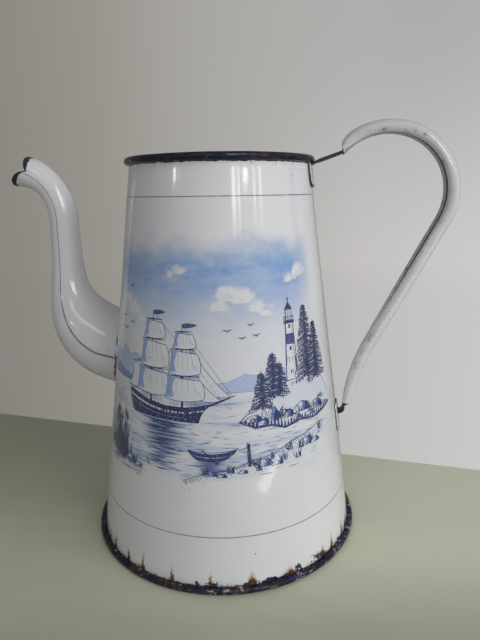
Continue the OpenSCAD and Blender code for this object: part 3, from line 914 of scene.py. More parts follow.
def make_brackets(finish):
    """The tab and tongue under the rim, and the leg and peg on the wall."""
    tab_z = BEAD_Z - BEAD_R - GAP
    under = (BEAD_MID, tab_z - STRIP_T / 2, 0.0)
    rounded = turn_path(under, BEAD_R + STRIP_U, BEAD_TURN, 6)
    eased = turn_path(rounded[-1], -2 * STRIP_T, EASED_TO, 4)
    held = [on_edge_line(GRIP_L * k / 4, -90) for k in range(1, 5)]
    path = [(wall_r(tab_z) + STRIP_T / 2, under[1], 0.0), under] + rounded + eased + held
    path = fine_path(crown_path(path, 1, GRIP_L, TONGUE_W), STRIP_STEP)
    bracket("handle_upper_tab", (tab_z - TAB_H, tab_z, TAB_W, TAB_BEND), path, TONGUE_W, finish,
            "handle_upper_bracket", (68.5, 238.0, 10.5, 0.25), dark_end=4.0)
    foot = polar(FOOT_P, STRIP_U, -FOOT_LEAN)
    bend_r = 2 * STRIP_T
    shelf = foot[1] - bend_r - PEG_DROP
    corner = (foot[0] - bend_r, shelf, 0.0)
    held = [on_edge_line(STRAP_L - GRIP_L * k / 4, 90) for k in range(1, 5)]
    path = [(wall_r(shelf) + STRIP_T / 2, shelf, 0.0), corner] + turn_path(corner, bend_r, 90 - FOOT_LEAN, 6) + held
    path = fine_path(crown_path(path, -1, STRAP_L - GRIP_L, PEG_W), STRIP_STEP)
    bracket("handle_lower_leg", (shelf - LEG_H, foot[1], LEG_W), path, PEG_W, finish, "handle_lower_bracket",
            (corner[0] + 0.6, shelf, 4.5, 0.65), whiter=0.25, rust=0.8)


def on_edge_line(s, turn):
    """Place and heading of a strip that runs just above the strap's edges."""
    x, z, facing = strap_station(s)
    p = polar((x, z), STRIP_U, facing)
    return p[0], p[1], facing + turn


# ---------------------------------------------------------------- the picture on the wall
PICTURE_R = 68.0        # across / PICTURE_R is the angle round the body from its front
STROKE_STEP, COLUMN = 1.8, 2.0
INK_STAND, LAYER_STEP = 0.03, 0.005     # how far the ink stands off the wall, and what each layer adds


class Picture:
    """A drawing in inks on the wall. A place is (across, up) in millimetres."""

    def __init__(self):
        self.places, self.faces, self.inks = [], [], []
        self.layer = 0

    def add(self, places, faces, ink, layer):
        start = len(self.places)
        self.places += [(u, z, layer) for u, z in places]
        self.inks += [ink] * len(places)
        self.faces += [tuple(start + i for i in face) for face in faces]

    def stroke(self, path, width, ink, begin=1.0, end=1.0):
        """A pen stroke. Its ends may be narrower than its middle."""
        line = fine_path(path, STROKE_STEP, math.ceil)
        last = len(line) - 1
        places = []
        for i, (u, z) in enumerate(line):
            a, b = line[max(0, i - 1)], line[min(last, i + 1)]
            run = math.dist(a, b) or 1.0
            t = i / last
            half = width / 2 * (begin + (1 - begin) * smooth_step(0, 0.4, t))
            half *= end + (1 - end) * smooth_step(1, 0.5, t)
            du, dz = (b[0] - a[0]) / run * half, (b[1] - a[1]) / run * half
            places += [(u - dz, z + du), (u + dz, z - du)]
        self.add(places, [(2 * i, 2 * i + 1, 2 * i + 3, 2 * i + 2) for i in range(last)], ink, self.layer + 0.5)

    def patch(self, outline, ink):
        """A filled shape, cut into narrow columns so that it follows the wall."""
        u, end = min(u for u, _ in outline), max(u for u, _ in outline)
        while u < end - 0.01:
            part = cut(cut(outline, u, 1), u + COLUMN, -1)
            if len(part) > 2:
                corners = [Vector((a, b, 0)) for a, b in part]
                self.add(part, tessellate_polygon([corners]), ink, self.layer)
            u += COLUMN

    def drawn(self, outline, ink, width=0.4, edge=0.85):
        """A filled shape with a pen line round it, over what was drawn before."""
        self.layer += 1
        self.patch(outline, ink)
        self.stroke(outline + outline[:1], width, edge)

    def over(self, outline, ink):
        """A filled shape over what was drawn before."""
        self.layer += 1
        self.patch(outline, ink)

    def made(self, finish):
        points, normals = [], []
        slope = (BASE_R - TOP_R) / BODY_H
        for u, z, layer in self.places:
            a = u / PICTURE_R
            x, y = math.sin(a), -math.cos(a)
            r = wall_r(z) + bulge(x, y, z) + INK_STAND + LAYER_STEP * layer
            points.append((r * x * MM, r * y * MM, z * MM))
            normals.append(Vector((x, y, slope)).normalized())
        mesh = bpy.data.meshes.new("picture_ink")
        mesh.from_pydata(points, [], [face_out(points, face) for face in self.faces])
        mesh.attributes.new("ink", "FLOAT", "POINT").data.foreach_set("value", self.inks)
        mesh.shade_smooth()
        mesh.normals_split_custom_set_from_vertices(normals)
        mesh.materials.append(finish)
        ink = placed("picture_ink", mesh)
        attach(ink, "root")


def face_out(points, face):
    """The face's corners in the order that makes it look away from the body's axis."""
    a, b, c = (Vector(points[i]) for i in face[:3])
    return face if (b - a).cross(c - a).dot(Vector((a.x, a.y, 0))) > 0 else face[::-1]


def cut(outline, at, side):
    """The part of an outline on one side of an upright line."""
    kept = []
    for a, b in zip(outline, outline[1:] + outline[:1]):
        before, after = (a[0] - at) * side, (b[0] - at) * side
        if before >= 0:
            kept.append(a)
        if before * after < 0:
            kept.append((at, a[1] + (b[1] - a[1]) * before / (before - after)))
    return kept


def arc_line(a, b, bow, steps=6):
    """Points from a to b that bow to the left of the way by a share of its length."""
    du, dz = b[0] - a[0], b[1] - a[1]
    return [(a[0] + du * t - dz * bow * 4 * t * (1 - t), a[1] + dz * t + du * bow * 4 * t * (1 - t))
            for t in spread(0, 1, steps)]


def draw_hills(art, chance):
    far = [(-79, 114.5), (-77, 119), (-70, 124), (-62, 131), (-57, 128), (-51, 134), (-44, 129.5), (-37, 131),
           (-29, 124), (-20, 126), (-11, 121), (-2, 122.5), (8, 118.5), (20, 120), (29, 124), (37, 122), (46, 127),
           (56, 123), (68, 119), (80, 114.5)]
    art.patch(far, 0.17)
    art.stroke(far[1:-1], 0.3, 0.42, 0.3, 0.3)
    for u, z in far[2:-3]:
        for k in range(4):
            a = (u + chance.uniform(-2, 3), z - 1.2 - k * 1.5)
            art.stroke([a, (a[0] + chance.uniform(1.5, 3.5), a[1] - chance.uniform(1.0, 2.2))], 0.22, 0.38, 0.4, 0.2)
    art.layer += 1
    near = [(-80, 114), (-80, 120), (-74, 122), (-67, 119.5), (-60, 121.5), (-52, 118), (-42, 117), (-34, 115.5),
            (-28, 114)]
    art.over(near, 0.42)
    for _ in range(46):
        u = chance.uniform(-79, -34)
        z = 114.4 + max(0.0, (-32 - u) * 0.10) + chance.uniform(0, 1.5)
        art.stroke([(u, z), (u + chance.uniform(-0.6, 0.6), z + chance.uniform(1.2, 3.0))], 0.6, 0.62, 1.0, 0.2)
    art.stroke([(-80, 114.2), (80, 114.2)], 0.35, 0.55, 0.3, 0.3)
    for u, z, size in ((2, 114.4, 5.5), (13, 114.4, 3.6)):
        art.layer += 1
        art.drawn([(u, z + 0.8), (u + size * 0.5, z + 0.9), (u + size * 0.15, z + size)], 0.03, 0.22, 0.6)
        art.drawn([(u - 0.4, z + 0.9), (u - size * 0.35, z + 1.0), (u - 0.2, z + size * 0.85)], 0.12, 0.22, 0.6)
        art.stroke([(u - size * 0.45, z + 0.7), (u + size * 0.55, z + 0.8)], 0.7, 0.75, 0.3, 0.3)


def draw_water(art, chance):
    for _ in range(430):
        near = chance.random() ** 0.8
        z = 113.2 - near * 47
        reach = 76 - 22 * smooth_step(76, 64, z)
        u = chance.uniform(-reach, reach)
        run = (1.6 + near * 7) * chance.uniform(0.5, 1.5)
        bow = chance.uniform(-0.05, 0.05)
        path = arc_line((u - run / 2, z), (u + run / 2, z + chance.uniform(-0.2, 0.2)), bow, 4)
        art.stroke(path, 0.20 + near * 0.28, chance.uniform(0.30, 0.62), 0.15, 0.15)


def square_sail(art, mast, foot, head, wide_foot, wide_head):
    """A sail filled by wind from the left, hung from its yard."""
    tall = head - foot
    left = arc_line((mast - wide_foot, foot), (mast - wide_head, head - 0.4), -0.07)
    right = arc_line((mast + wide_head, head), (mast + wide_foot + 1.2, foot + 0.4), 0.13)
    under = arc_line((mast + wide_foot + 1.2, foot + 0.4), (mast - wide_foot, foot), 0.07)
    art.drawn(left + right[1:] + under[1:-1], 0.015, 0.36, 0.85)
    art.over(left + [(mast - wide_head * 0.45, head - 0.4), (mast - wide_foot * 0.58, foot + tall * 0.5),
                     (mast - wide_foot * 0.45, foot + 0.9)], 0.28)
    for k in range(9):
        z = foot + tall * (0.12 + 0.09 * k)
        side = mast - wide_foot + (wide_foot - wide_head) * (z - foot) / tall
        art.stroke(arc_line((side + 0.9, z), (side + wide_foot * 0.42, z + 0.5), 0.1, 3), 0.26, 0.50, 1.0, 0.2)
    for k in (-0.45, -0.1, 0.25, 0.6):
        end = (mast + wide_foot * k + 0.8, foot + tall * 0.12 + 0.4)
        art.stroke(arc_line((mast + wide_head * k, head - 0.5), end, 0.05), 0.20, 0.42, 0.6, 0.3)
    fold = arc_line((mast + wide_head * 0.8, head - tall * 0.55), (mast + wide_foot, foot + 1.4), 0.06)
    art.stroke(fold, 0.9, 0.16, 0.2, 0.2)
    art.stroke([(mast - wide_head - 1.0, head + 0.1), (mast + wide_head + 1.0, head + 0.5)], 0.75, 0.98, 0.4, 0.4)


def draw_ship(art, chance, at):
    """A brig under full sail, bound to the right, with its foremast at the given place."""
    for k in range(46):
        z = 96.6 - k * 0.58
        wide = (23 - k * 0.36) * chance.uniform(0.5, 1.0)
        middle = at - 10 + chance.uniform(-5, 5)
        art.stroke(arc_line((middle - wide, z), (middle + wide * 0.8, z), chance.uniform(-0.01, 0.01)),
                   0.72 - k * 0.007, chance.uniform(0.60, 0.90), 0.1, 0.1)
    art.layer += 1
    after = at - 19.5
    for mast, top in ((at, 151.0), (after, 157.0)):
        for foot in (-7.5, -5.2, -3.0, 3.0, 5.2, 7.5):
            art.stroke([(mast + foot, 106.0), (mast - 0.3, top - 27.0)], 0.22, 0.66)
        art.stroke([(mast, 104.0), (mast - 0.4, top - 14)], 1.2, 0.98, 1.0, 0.6)
        art.stroke([(mast - 0.3, top - 20), (mast - 0.6, top)], 0.70, 0.98, 1.0, 0.4)
    for low, high in (((27.0, 112), (-0.6, 151)), ((21.0, 110), (-0.5, 140)), ((-0.6, 139), (-20.0, 157)),
                      ((-0.2, 122), (-19.8, 143)), ((-34.5, 112), (-20.0, 150)), ((-19.0, 118), (-0.6, 147))):
        art.stroke([(at + low[0], low[1]), (at + high[0], high[1])], 0.22, 0.64)
    for jib in (((25.6, 111.8), (2.4, 143.0), (7.4, 115.5)), ((20.6, 109.8), (2.2, 131.0), (5.6, 111.0))):
        a, b, c = ((at + u, z) for u, z in jib)
        art.drawn(arc_line(a, b, 0.04)[:-1] + arc_line(b, c, 0.05)[:-1] + arc_line(c, a, -0.08)[:-1], 0.03, 0.34, 0.82)
        art.over([b, ((b[0] * 2 + a[0]) / 3, (b[1] * 2 + a[1]) / 3), (c[0] + 1.5, c[1] + 0.4), c], 0.24)
    gaff, boom = (after - 16.5, 126.2), (after - 20.0, 111.8)
    art.drawn([(after - 1.5, 110.5)] + arc_line((after - 1.9, 131), (after - 14, 125.5), 0.02) + arc_line(
        (after - 15.5, 125), (after - 18.5, 112), 0.09), 0.03, 0.36, 0.82)
    art.over([(after - 1.7, 111), (after - 1.9, 130.6), (after - 5.5, 129.0), (after - 5.5, 111.2)], 0.28)
    art.stroke([(after - 0.7, 110.4), boom], 0.7, 0.98, 1.0, 0.5)
    art.stroke([(after - 0.7, 130.6), gaff], 0.6, 0.98, 1.0, 0.5)
    for mast, levels in ((after, ((111.5, 125.0, 11.5, 10.0), (126.6, 141.0, 9.6, 7.6), (142.4, 152.0, 7.2, 5.2))),
                         (at, ((110.0, 122.4, 10.5, 9.0), (124.0, 137.0, 8.6, 6.8), (138.2, 146.6, 6.2, 4.4)))):
        for foot, head, wide_foot, wide_head in levels:
            square_sail(art, mast, foot, head, wide_foot, wide_head)
    hull = [(15.5, 107.8)] + arc_line((14.2, 106.6), (9.0, 97.4), -0.10) + [(-31.5, 97.4)] + arc_line(
        (-32.5, 98), (-36.5, 108.0), 0.05) + [(-36.5, 110.6), (-30.5, 109.0), (-22, 106.8), (-10, 105.2), (2, 105.4)]
    art.drawn([(at + u, z) for u, z in hull], 0.90, 0.3, 1.0)
    rail = [(-36.3, 109.0), (-30, 107.2), (-21, 105.2), (-10, 103.8), (2, 104.0), (14.4, 106.4)]
    art.stroke([(at + u, z - 1.6) for u, z in rail], 1.1, 0.03, 0.8, 0.6)
    art.stroke([(at + u, z - 4.4) for u, z in rail[:-1]], 0.3, 0.30, 0.8, 0.6)
    art.layer += 1
    for k in range(9):
        u = -30.5 + k * 4.6
        z = 101.6 + abs(u + 8) * 0.05
        art.patch([(at + u, z), (at + u + 1.3, z), (at + u + 1.3, z + 1.1), (at + u, z + 1.1)], 1.0)
    art.stroke([(at + 14.0, 107.0), (at + 28.5, 112.8)], 0.95, 0.98, 1.0, 0.3)
    for u, z in ((at - 0.6, 151.0), (after - 0.6, 157.0)):
        art.patch(arc_line((u, z), (u + 9, z - 0.3), 0.09) + arc_line((u + 9, z - 0.3), (u, z - 2.0), 0.07)[1:], 0.75)
    for k in range(22):
        u = at + 14 + chance.uniform(-6, 9)
        foam = [(u, 97 - chance.uniform(0, 2.8)), (u + chance.uniform(2, 5), 96.4 - chance.uniform(0, 2))]
        art.stroke(arc_line(*foam, 0.12), 0.48, 0.02, 0.2, 0.2)


def draw_rocks(art, chance, *rocks):
    """Boulders, lit from the left: across, up, half width and height of each."""
    for u, z, wide, tall in rocks:
        top = [(u + wide * math.cos(a) * chance.uniform(0.85, 1.1), z + tall * math.sin(a) * chance.uniform(0.8, 1.1))
               for a in spread(math.pi, 0.0, 8)]
        art.drawn(top, 0.05, 0.42, 0.92)
        art.over([(u - wide * 0.15, z), (u + wide * 0.12, z + tall * 0.55), *top[4:]], 0.45)
        art.over([(u + wide * 0.25, z), (u + wide * 0.4, z + tall * 0.5), *top[5:]], 0.80)
        for k in range(int(wide * 1.6)):
            a = u - wide * 0.6 + k * 0.75
            art.stroke([(a, z + tall * chance.uniform(0.35, 0.8)), (a + 0.9, z + tall * chance.uniform(0.0, 0.3))],
                       0.30, 0.85, 0.5, 0.2)


def grass(art, chance, u, z, blades, tall, ink=0.86):
    for _ in range(blades):
        a = (u + chance.uniform(-1.6, 1.6), z)
        b = (a[0] + chance.uniform(-2.2, 2.2), z + tall * chance.uniform(0.5, 1.1))
        art.stroke(arc_line(a, b, chance.uniform(-0.12, 0.12), 5), 0.42, ink, 1.0, 0.1)


def fir(art, chance, u, foot, tall):
    art.stroke([(u, foot), (u + 0.3, foot + tall * 0.97)], 1.3, 0.98, 1.0, 0.15)
    tiers = int(tall / 1.75)
    for i in range(tiers):
        t = i / tiers
        z = foot + tall * (0.13 + 0.85 * t)
        for side in (-1, 1):
            reach = tall * 0.25 * (1 - t) ** 0.85 * chance.uniform(0.72, 1.12) + 0.7
            tip = (u + side * reach, z - reach * chance.uniform(0.28, 0.52))
            branch = arc_line((u, z), tip, side * -0.10, 5)
            art.stroke(branch, 0.75, 0.93, 1.0, 0.2)
            for p in branch[1:]:
                for _ in range(2):
                    end = (p[0] + side * chance.uniform(-0.2, 1.0), p[1] - chance.uniform(0.8, 2.1))
                    art.stroke([(p[0] + chance.uniform(-0.5, 0.5), p[1] + 0.1), end], 0.42, 0.88, 1.0, 0.2)
            if i % 2 and reach > 2.0:
                art.layer += 1
                art.stroke([(p[0], p[1] + 0.35) for p in branch[2:]], 0.42, 0.05, 0.3, 0.2)
                art.layer -= 1


def draw_headland(art, chance):
    """The point on the right with its light tower, rocks and firs."""
    art.layer += 1
    land = [(25, 97.5), (29, 101.5), (34, 103), (39, 107.5), (45, 111), (50, 115.5), (56, 117.5), (64, 118),
            (71, 115.5), (80, 114.5), (84, 110.5), (87.5, 104), (89.5, 98), (90, 94.5), (80, 93.5), (71, 91.5),
            (60, 93.5), (50, 91.5), (42, 94.5), (34, 94.0)]
    art.drawn(land, 0.05, 0.4, 0.8)
    foot = [(24, 97.6), (30, 99.0), (37, 97.8), (45, 98.6), (52, 96.0), (61, 98.4), (70, 95.6), (80, 98.0), (86, 96.5),
            (90.5, 94.5), (82, 92.2), (71, 90.6), (60, 92.4), (50, 90.4), (42, 93.4), (33, 93.2)]
    art.over(foot, 0.82)
    for _ in range(120):
        t = chance.random()
        u = 30 + 50 * t
        z = chance.uniform(97, 100 + 14 * smooth_step(0, 0.5, t))
        art.stroke([(u, z), (u + chance.uniform(0.6, 2.2), z - chance.uniform(0.8, 2.6))], 0.30,
                   chance.uniform(0.35, 0.8), 0.6, 0.1)
    art.layer += 1
    draw_rocks(art, chance, (33, 97, 5.0, 4.2), (42, 98, 6.0, 6.4), (52, 96.5, 5.2, 5.0), (62, 97.5, 6.4, 6.0),
               (74, 96, 6.0, 5.2), (37.5, 94.6, 3.6, 3.0), (57.5, 94, 3.6, 3.2), (68, 93.6, 3.8, 2.8))
    art.layer += 1
    tower = [(53.2, 116.8), (54.7, 149.0), (59.9, 149.0), (61.4, 117.2)]
    art.drawn(tower, 0.02, 0.42, 0.9)
    art.layer += 1

    def at(z, share):
        """A place on the tower at height z, from 0 at its left side to 1 at its right."""
        t = (z - 117) / 32
        return 53.2 + 1.5 * t + (8.2 - 3.0 * t) * share, z

    for low_z, high_z in ((123, 130), (137, 143)):
        art.patch([at(low_z, 0), at(high_z, 0), at(high_z, 1), at(low_z, 1)], 0.74)
    for z in range(118, 149, 1):
        art.stroke([at(z, 0.66), at(z - 0.5, 0.99)], 0.30, 0.55 if not 122 < z < 131 and not 136 < z < 144 else 0.95)
    art.layer += 1
    for z in (120.5, 133.5, 146):
        art.patch([at(z, 0.36), at(z + 2.2, 0.36), at(z + 2.2, 0.58), at(z, 0.58)], 0.95)
    art.patch([(53.6, 148.6), (53.6, 150.2), (61.0, 150.2), (61.0, 148.6)], 0.95)
    for k in range(8):
        art.stroke([(53.9 + k * 0.98, 150.2), (53.9 + k * 0.98, 152.6)], 0.24, 0.9)
    art.stroke([(53.6, 152.6), (61.0, 152.6)], 0.32, 0.9)
    art.drawn([(55.2, 150.4), (55.2, 156.2), (59.4, 156.2), (59.4, 150.4)], 0.10, 0.35, 0.9)
    for u in (56.6, 58.0):
        art.stroke([(u, 150.4), (u, 156.2)], 0.28, 0.85)
    art.patch([(54.4, 156.2), (57.3, 160.6), (60.2, 156.2)], 0.95)
    art.stroke([(57.3, 160.4), (57.3, 163.2)], 0.38, 0.95)
    for u, foot_z, tall in ((44.5, 108.5, 27), (69.5, 112.5, 47), (37.5, 103.5, 22), (78, 112.5, 36),
                            (48.5, 110.5, 19)):
        art.layer += 1
        fir(art, chance, u, foot_z, tall)
    art.layer += 2
    for _ in range(26):
        grass(art, chance, chance.uniform(32, 82), chance.uniform(93.5, 101), 4, 2.6)


def draw_near_shore(art, chance):
    """The bank in front with its boat, stones and reeds."""
    art.layer += 1
    bank = [(-4, 64.6), (8, 69.5), (20, 71.0), (30, 75.5), (42, 77.5), (54, 82.5), (66, 84.5), (75, 86.5), (83, 85.5),
            (88, 81.5), (80, 78.0), (72, 74.5), (58, 70.0), (44, 69.5), (30, 66.5), (14, 65.5)]
    art.over(bank, 0.04)
    art.stroke(bank[:10], 0.4, 0.75, 0.3, 0.2)
    for a, b in zip(bank, bank[1:7]):
        for k in range(9):
            t = k / 9
            u, z = a[0] + (b[0] - a[0]) * t, a[1] + (b[1] - a[1]) * t
            art.stroke([(u, z + 0.2), (u + chance.uniform(1, 2.5), z - chance.uniform(1.4, 3.4))], 0.36,
                       chance.uniform(0.6, 0.9), 1.0, 0.1)
    for _ in range(90):
        t = chance.random()
        u = 4 + 74 * t
        z = 67.5 + 14 * t + chance.uniform(-1.5, 3.0)
        art.stroke(arc_line((u, z), (u + chance.uniform(2, 6), z + chance.uniform(-0.2, 1.2)), 0.05, 4), 0.26,
                   chance.uniform(0.25, 0.6), 0.2, 0.1)
    art.layer += 1
    draw_rocks(art, chance, (10, 68.0, 3.6, 2.8), (15.5, 67.2, 2.6, 1.9), (37, 71.5, 5.0, 4.2), (44, 71.0, 3.2, 2.6),
               (63, 77, 5.4, 4.8), (70, 76.5, 3.6, 3.0), (26, 69.0, 2.6, 2.0))
    for u, z in ((8, 70), (20, 71), (33, 74), (34, 71), (48, 74), (52, 79), (59, 78), (67, 80), (75, 84), (57, 73),
                 (41, 76)):
        grass(art, chance, u, z - 1.5, 9, 5.5)
    # a rowing boat drawn up to its post
    art.layer += 1
    hull = arc_line((-1.5, 82.2), (23.5, 83.0), -0.085, 10) + arc_line((23.5, 83.0), (17, 77.0), 0.06, 4)[1:]
    hull += arc_line((17, 77.0), (4.0, 76.6), 0.03, 4)[1:] + arc_line((4.0, 76.6), (-1.5, 82.2), 0.08, 4)[1:-1]
    art.drawn(hull, 0.82, 0.35, 1.0)
    art.layer += 1
    inside = arc_line((-0.4, 81.8), (22.4, 82.6), -0.083, 10) + arc_line((22.4, 82.6), (-0.4, 81.8), 0.045, 10)[1:-1]
    art.drawn(inside, 0.10, 0.25, 0.9)
    for k in (0.27, 0.52, 0.76):
        u = -1.5 + 25 * k
        art.stroke([(u, 80.4), (u + 1.0, 78.3)], 0.8, 0.8)
    art.stroke(arc_line((0.2, 79.6), (20.5, 79.8), -0.07, 8), 0.35, 0.10, 0.2, 0.2)
    art.stroke([(5.5, 82.6), (12.5, 76.0)], 0.55, 0.95)
    art.stroke([(12.0, 76.6), (13.6, 74.8)], 1.2, 0.95)
    for k in range(12):
        z = 76.0 - k * 0.62
        art.stroke([(2 + chance.uniform(-2, 3), z), (19 + chance.uniform(-3, 3), z + 0.2)], 0.4, 0.62, 0.1, 0.1)
    art.stroke([(29.5, 72.5), (29.2, 86.0)], 1.5, 0.95, 1.0, 0.9)
    art.stroke([(28.9, 85.8), (30.0, 85.9)], 0.8, 0.05)
    art.stroke(arc_line((23.2, 82.8), (29.2, 84.4), -0.16), 0.32, 0.9)
    # reeds
    for _ in range(84):
        u = -50 + chance.gauss(0, 8.0)
        foot_z = 67 + chance.uniform(-2.5, 4) - abs(u + 50) * 0.05
        tall = chance.uniform(9, 25) * (1 - min(0.6, abs(u + 50) / 34))
        tip = (u + chance.uniform(-5, 5), foot_z + tall)
        blade = arc_line((u, foot_z), tip, chance.uniform(-0.10, 0.10), 7)
        art.stroke(blade, 0.55, chance.uniform(0.70, 0.98), 1.0, 0.08)
    for _ in range(11):
        u = -51 + chance.gauss(0, 6)
        top = (u + chance.uniform(-2, 2), 90 + chance.uniform(-5, 6))
        art.stroke([(u, 69), top], 0.34, 0.85)
        art.stroke([(top[0], top[1] - 4.6), top], 1.25, 1.0, 0.7, 0.7)
        art.stroke([top, (top[0] + 0.1, top[1] + 1.8)], 0.24, 0.9)
    draw_rocks(art, chance, (-38, 67.0, 4.2, 3.2), (-31.5, 65.8, 3.0, 2.1), (-63, 69.5, 3.8, 3.0))
    for k in range(30):
        z = 68 - k * 0.25
        u = -49 + chance.uniform(-14, 16)
        art.stroke([(u, z), (u + chance.uniform(4, 11), z + chance.uniform(-0.2, 0.2))], 0.42, 0.66, 0.1, 0.1)


def draw_picture(finish):
    """A brig off a rocky point with a light tower."""
    chance = random.Random(7)
    art = Picture()
    draw_hills(art, chance)
    art.layer += 1
    draw_water(art, chance)
    draw_ship(art, chance, -5.0)
    draw_headland(art, chance)
    draw_near_shore(art, chance)
    # gulls
    for u, z, size in ((-50, 143, 3.4), (-43, 147.5, 2.6), (-53, 150, 2.2), (20, 147, 3.0), (28, 143, 2.4),
                       (33, 150, 2.0), (36, 144, 2.6), (-46, 168, 2.6)):
        art.stroke(arc_line((u - size, z + size * 0.32), (u, z), 0.20), 0.5, 0.80, 0.1, 0.8)
        art.stroke(arc_line((u, z), (u + size, z + size * 0.42), 0.20), 0.5, 0.80, 0.8, 0.1)
    art.made(finish)


# ---------------------------------------------------------------- stage, lamps and camera
# The far wall's painted light and shade by direction, as shares of a full turn: 0.5 is straight back, along +Y
ROOM = ((0.0, (0.30, 0.295, 0.285)), (0.36, (0.235, 0.225, 0.20)), (0.395, (0.255, 0.243, 0.220)),
        (0.425, (0.315, 0.300, 0.270)), (0.465, (0.43, 0.42, 0.405)), (0.50, (0.555, 0.54, 0.53)),
        (0.535, (0.605, 0.60, 0.595)), (0.62, (0.56, 0.555, 0.545)), (1.0, (0.30, 0.295, 0.285)))


def room_tone(nodes, x, y):
    """Colour of the far wall in that direction, with its light and shade painted in."""
    degrees = nodes.maths("ARCTAN2", x, y) * (180 / math.pi)
    return nodes.ramp(degrees * (1 / 360) + 0.5, *ROOM)


FLOOR_R = 1.6


def make_floor():
    """A painted table that ends at a pale wall. Far from the pot it gives way to the room."""
    f = Finish("painted_table")
    beyond = (f.y + f.x * 0.05).rise(96.6, 97.4)
    brushed = f.cloud(60, 5, 0.65, f.stretched(0.22, 1.0, 1.0)).rise(0.3, 0.7)
    green = f.mix((0.61, 0.635, 0.485), (0.70, 0.725, 0.55), brushed)
    green = f.mix(green, (0.74, 0.76, 0.67), f.cloud(4, 4, 0.8, f.stretched(0.5, 1.0, 1.0)).rise(0.62, 0.8) * 0.35)
    # painted light and shade: paler towards the window, darker away from it and close by
    light = f.mix(green, (0.78, 0.80, 0.63), f.x.rise(40, 160) * f.y.rise(-190, -60) * 0.75)
    shaded = f.mix(light, (0.30, 0.302, 0.215), f.x.rise(110, -260) * f.y.rise(-250, 80) * 0.85)
    shaded = f.mix(shaded, (0.30, 0.31, 0.245), (f.y - f.x * 0.3).rise(-55, -145) * 0.6)
    table = f.add("BsdfPrincipled", {}, {"Base Color": shaded, "Roughness": 0.42})
    far = f.add("BsdfDiffuse", {}, {"Color": (0.45, 0.44, 0.42)})
    # for the camera, the wall beyond the table glows with the room's painted light and shade
    tone = f.add("Emission", {}, {"Color": room_tone(f, f.x - CAMERA[0] / MM, f.y - CAMERA[1] / MM)})
    seen = f.add("LightPath", {}, {}, "Is Camera Ray")
    wall = f.add("MixShader", {}, {0: seen * 0.93, 1: far, 2: tone})
    clear = f.add("BsdfTransparent", {}, {})
    whole = f.add("MixShader", {}, {0: beyond, 1: table, 2: wall})
    f.shown(f.add("MixShader", {}, {0: from_axis(f).rise(700.0, 1500.0), 1: whole, 2: clear}))
    work = bmesh.new()
    bmesh.ops.create_circle(work, cap_ends=True, segments=96, radius=FLOOR_R)
    floor = placed("floor", mesh_of(work, "floor"))
    floor.data.materials.append(f.material)


def make_world():
    world = bpy.data.worlds.new("studio")
    bpy.context.scene.world = world
    world.use_nodes = True
    w = Nodes(world.node_tree)
    x, y, z = w.split(w.add("TexCoord", {}, {}, "Generated"))
    # painted shade: the corner of the room above the window's side is darker
    corner = x.rise(-0.35, 0.15) * z.rise(-0.15, 0.30) * 0.27
    tone = w.mix(room_tone(w, x, y), (0.0, 0.0, 0.0), corner)
    # the light of the room is stronger from the window's side and from the front, and weaker from above
    lit = w.mix((0.19, 0.188, 0.188), (0.585, 0.588, 0.60), (x * 0.66 - z * 0.25 - y * 0.55).rise(-0.95, 0.95))
    # for the camera, the world shows the room's painted light and shade
    seen = w.add("LightPath", {}, {}, "Is Camera Ray")
    w.shown(w.add("Background", {}, {"Color": w.mix(lit, tone, seen)}), "World")


def lamp(name, at, aim, width, height, watts, glossy=True, diffuse=True, fade=None):
    """A soft panel of light. With fade it is as strong from its bottom up as the ramp's stops say."""
    light = bpy.data.lights.new(name, "AREA")
    light.shape, light.size, light.size_y = "RECTANGLE", width, height
    light.energy = watts
    if fade:
        light.use_nodes = True
        n = Nodes(light.node_tree)
        strength = n.ramp(n.split(n.add("NewGeometry", {}, {}, "Parametric"))[1], *fade)
        n.shown(n.add("Emission", {}, {"Color": strength}), "Light")
    made = placed(name, light)
    made.location = at
    made.rotation_euler = (Vector(aim) - Vector(at)).to_track_quat("-Z", "Y").to_euler()
    made.visible_camera, made.visible_glossy, made.visible_diffuse = False, glossy, diffuse


def round_pot(degrees, distance, z):
    """A place round the pot, 0 degrees in front of it and 90 beyond the handle."""
    a = math.radians(degrees)
    return distance * math.sin(a), -distance * math.cos(a), z


PANE_FAR = 1.35
POT_MIDDLE, POT_UPPER = (0, 0, 0.12), (0, 0, 0.2)
# How strong a tall pane is from its lower edge up
PANE_FADE = [(up, (v, v, v)) for up, v in
             ((0.0, 0.0), (0.17, 0.0), (0.23, 0.30), (0.31, 0.85), (0.45, 1.0), (1.0, 1.0))]
GLARE_AT = (0.238, -0.185, 0.002)


def pane(name, degrees, z, width, height, watts, fade=None):
    """A window pane that only the glaze shows."""
    lamp(name, round_pot(degrees, PANE_FAR, z), POT_UPPER, width, height, watts, diffuse=False, fade=fade)


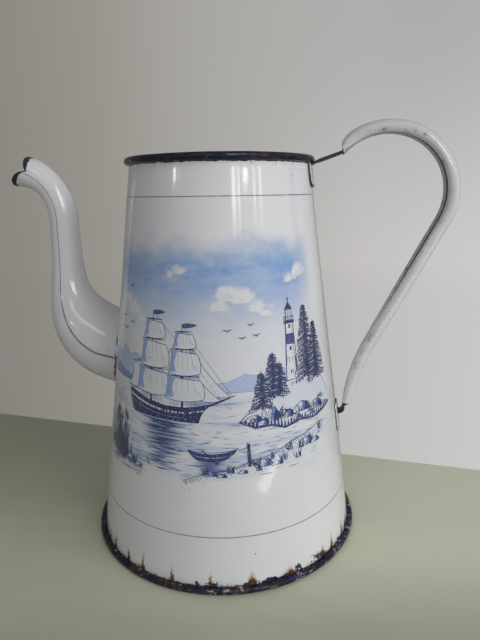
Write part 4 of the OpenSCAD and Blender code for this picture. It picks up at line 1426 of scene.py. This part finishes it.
def make_lamps():
    lamp("window", round_pot(64, 1.5, 0.56), POT_MIDDLE, 1.2, 1.2, 13.0, glossy=False)
    for degrees, width, watts in ((30.5, 0.10, 1.9), (36.3, 0.05, 1.0), (54.5, 0.06, 0.75), (62, 0.08, 1.0)):
        pane("pane_%d" % degrees, degrees, 0.71, width, 0.9, watts, PANE_FADE)
    pane("pane_high", 44.5, 0.65, 0.14, 0.16, 0.62)
    pane("pane_upper", 43, 1.12, 0.30, 0.80, 3.6)
    pane("sky_upper", -14, 1.40, 0.60, 0.30, 1.0)
    pane("far_pane", -40, 0.585, 0.09, 0.05, 0.15)
    pane("far_pane_small", -33.5, 0.595, 0.05, 0.03, 0.02)
    # a bright strip of the table, which the foot and the spout show
    lamp("table_glare", GLARE_AT, (GLARE_AT[0], GLARE_AT[1], 1.0), 0.17, 0.042, 0.062, diffuse=False)


# Place of the camera, and its heading, pitch and roll in radians
CAMERA = (0.0867, -0.32359, 0.2195)
HEADING, PITCH, ROLL = 0.033 - math.radians(15), -0.2402, -0.0142
FOCAL_WIDTHS = 522 / 640


def make_camera():
    ahead = Vector((math.sin(HEADING) * math.cos(PITCH), math.cos(HEADING) * math.cos(PITCH), math.sin(PITCH)))
    right = Vector((math.cos(HEADING), -math.sin(HEADING), 0))
    up = right.cross(ahead)
    side = right * math.cos(ROLL) + up * math.sin(ROLL)
    top = up * math.cos(ROLL) - right * math.sin(ROLL)
    data = bpy.data.cameras.new("camera")
    data.sensor_width = 36.0
    data.lens = data.sensor_width * FOCAL_WIDTHS
    data.clip_start = 0.02
    camera = placed("camera", data)
    camera.matrix_world = Matrix.Translation(CAMERA) @ Matrix((side, top, -ahead)).transposed().to_4x4()
    bpy.context.scene.camera = camera


bpy.context.scene.view_settings.view_transform = "Standard"
make_camera()
make_body(wall_finish(), foot_finish(), rim_finish())
make_base(hem_finish())
make_spout(spout_finish(), weld_finish())
make_strap(strap_finish())
make_brackets(bracket_finish())
draw_picture(ink_finish())
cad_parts["rim_wire"].data.materials.clear()
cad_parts["rim_wire"].data.materials.append(wire_finish())
make_floor()
make_world()
make_lamps()
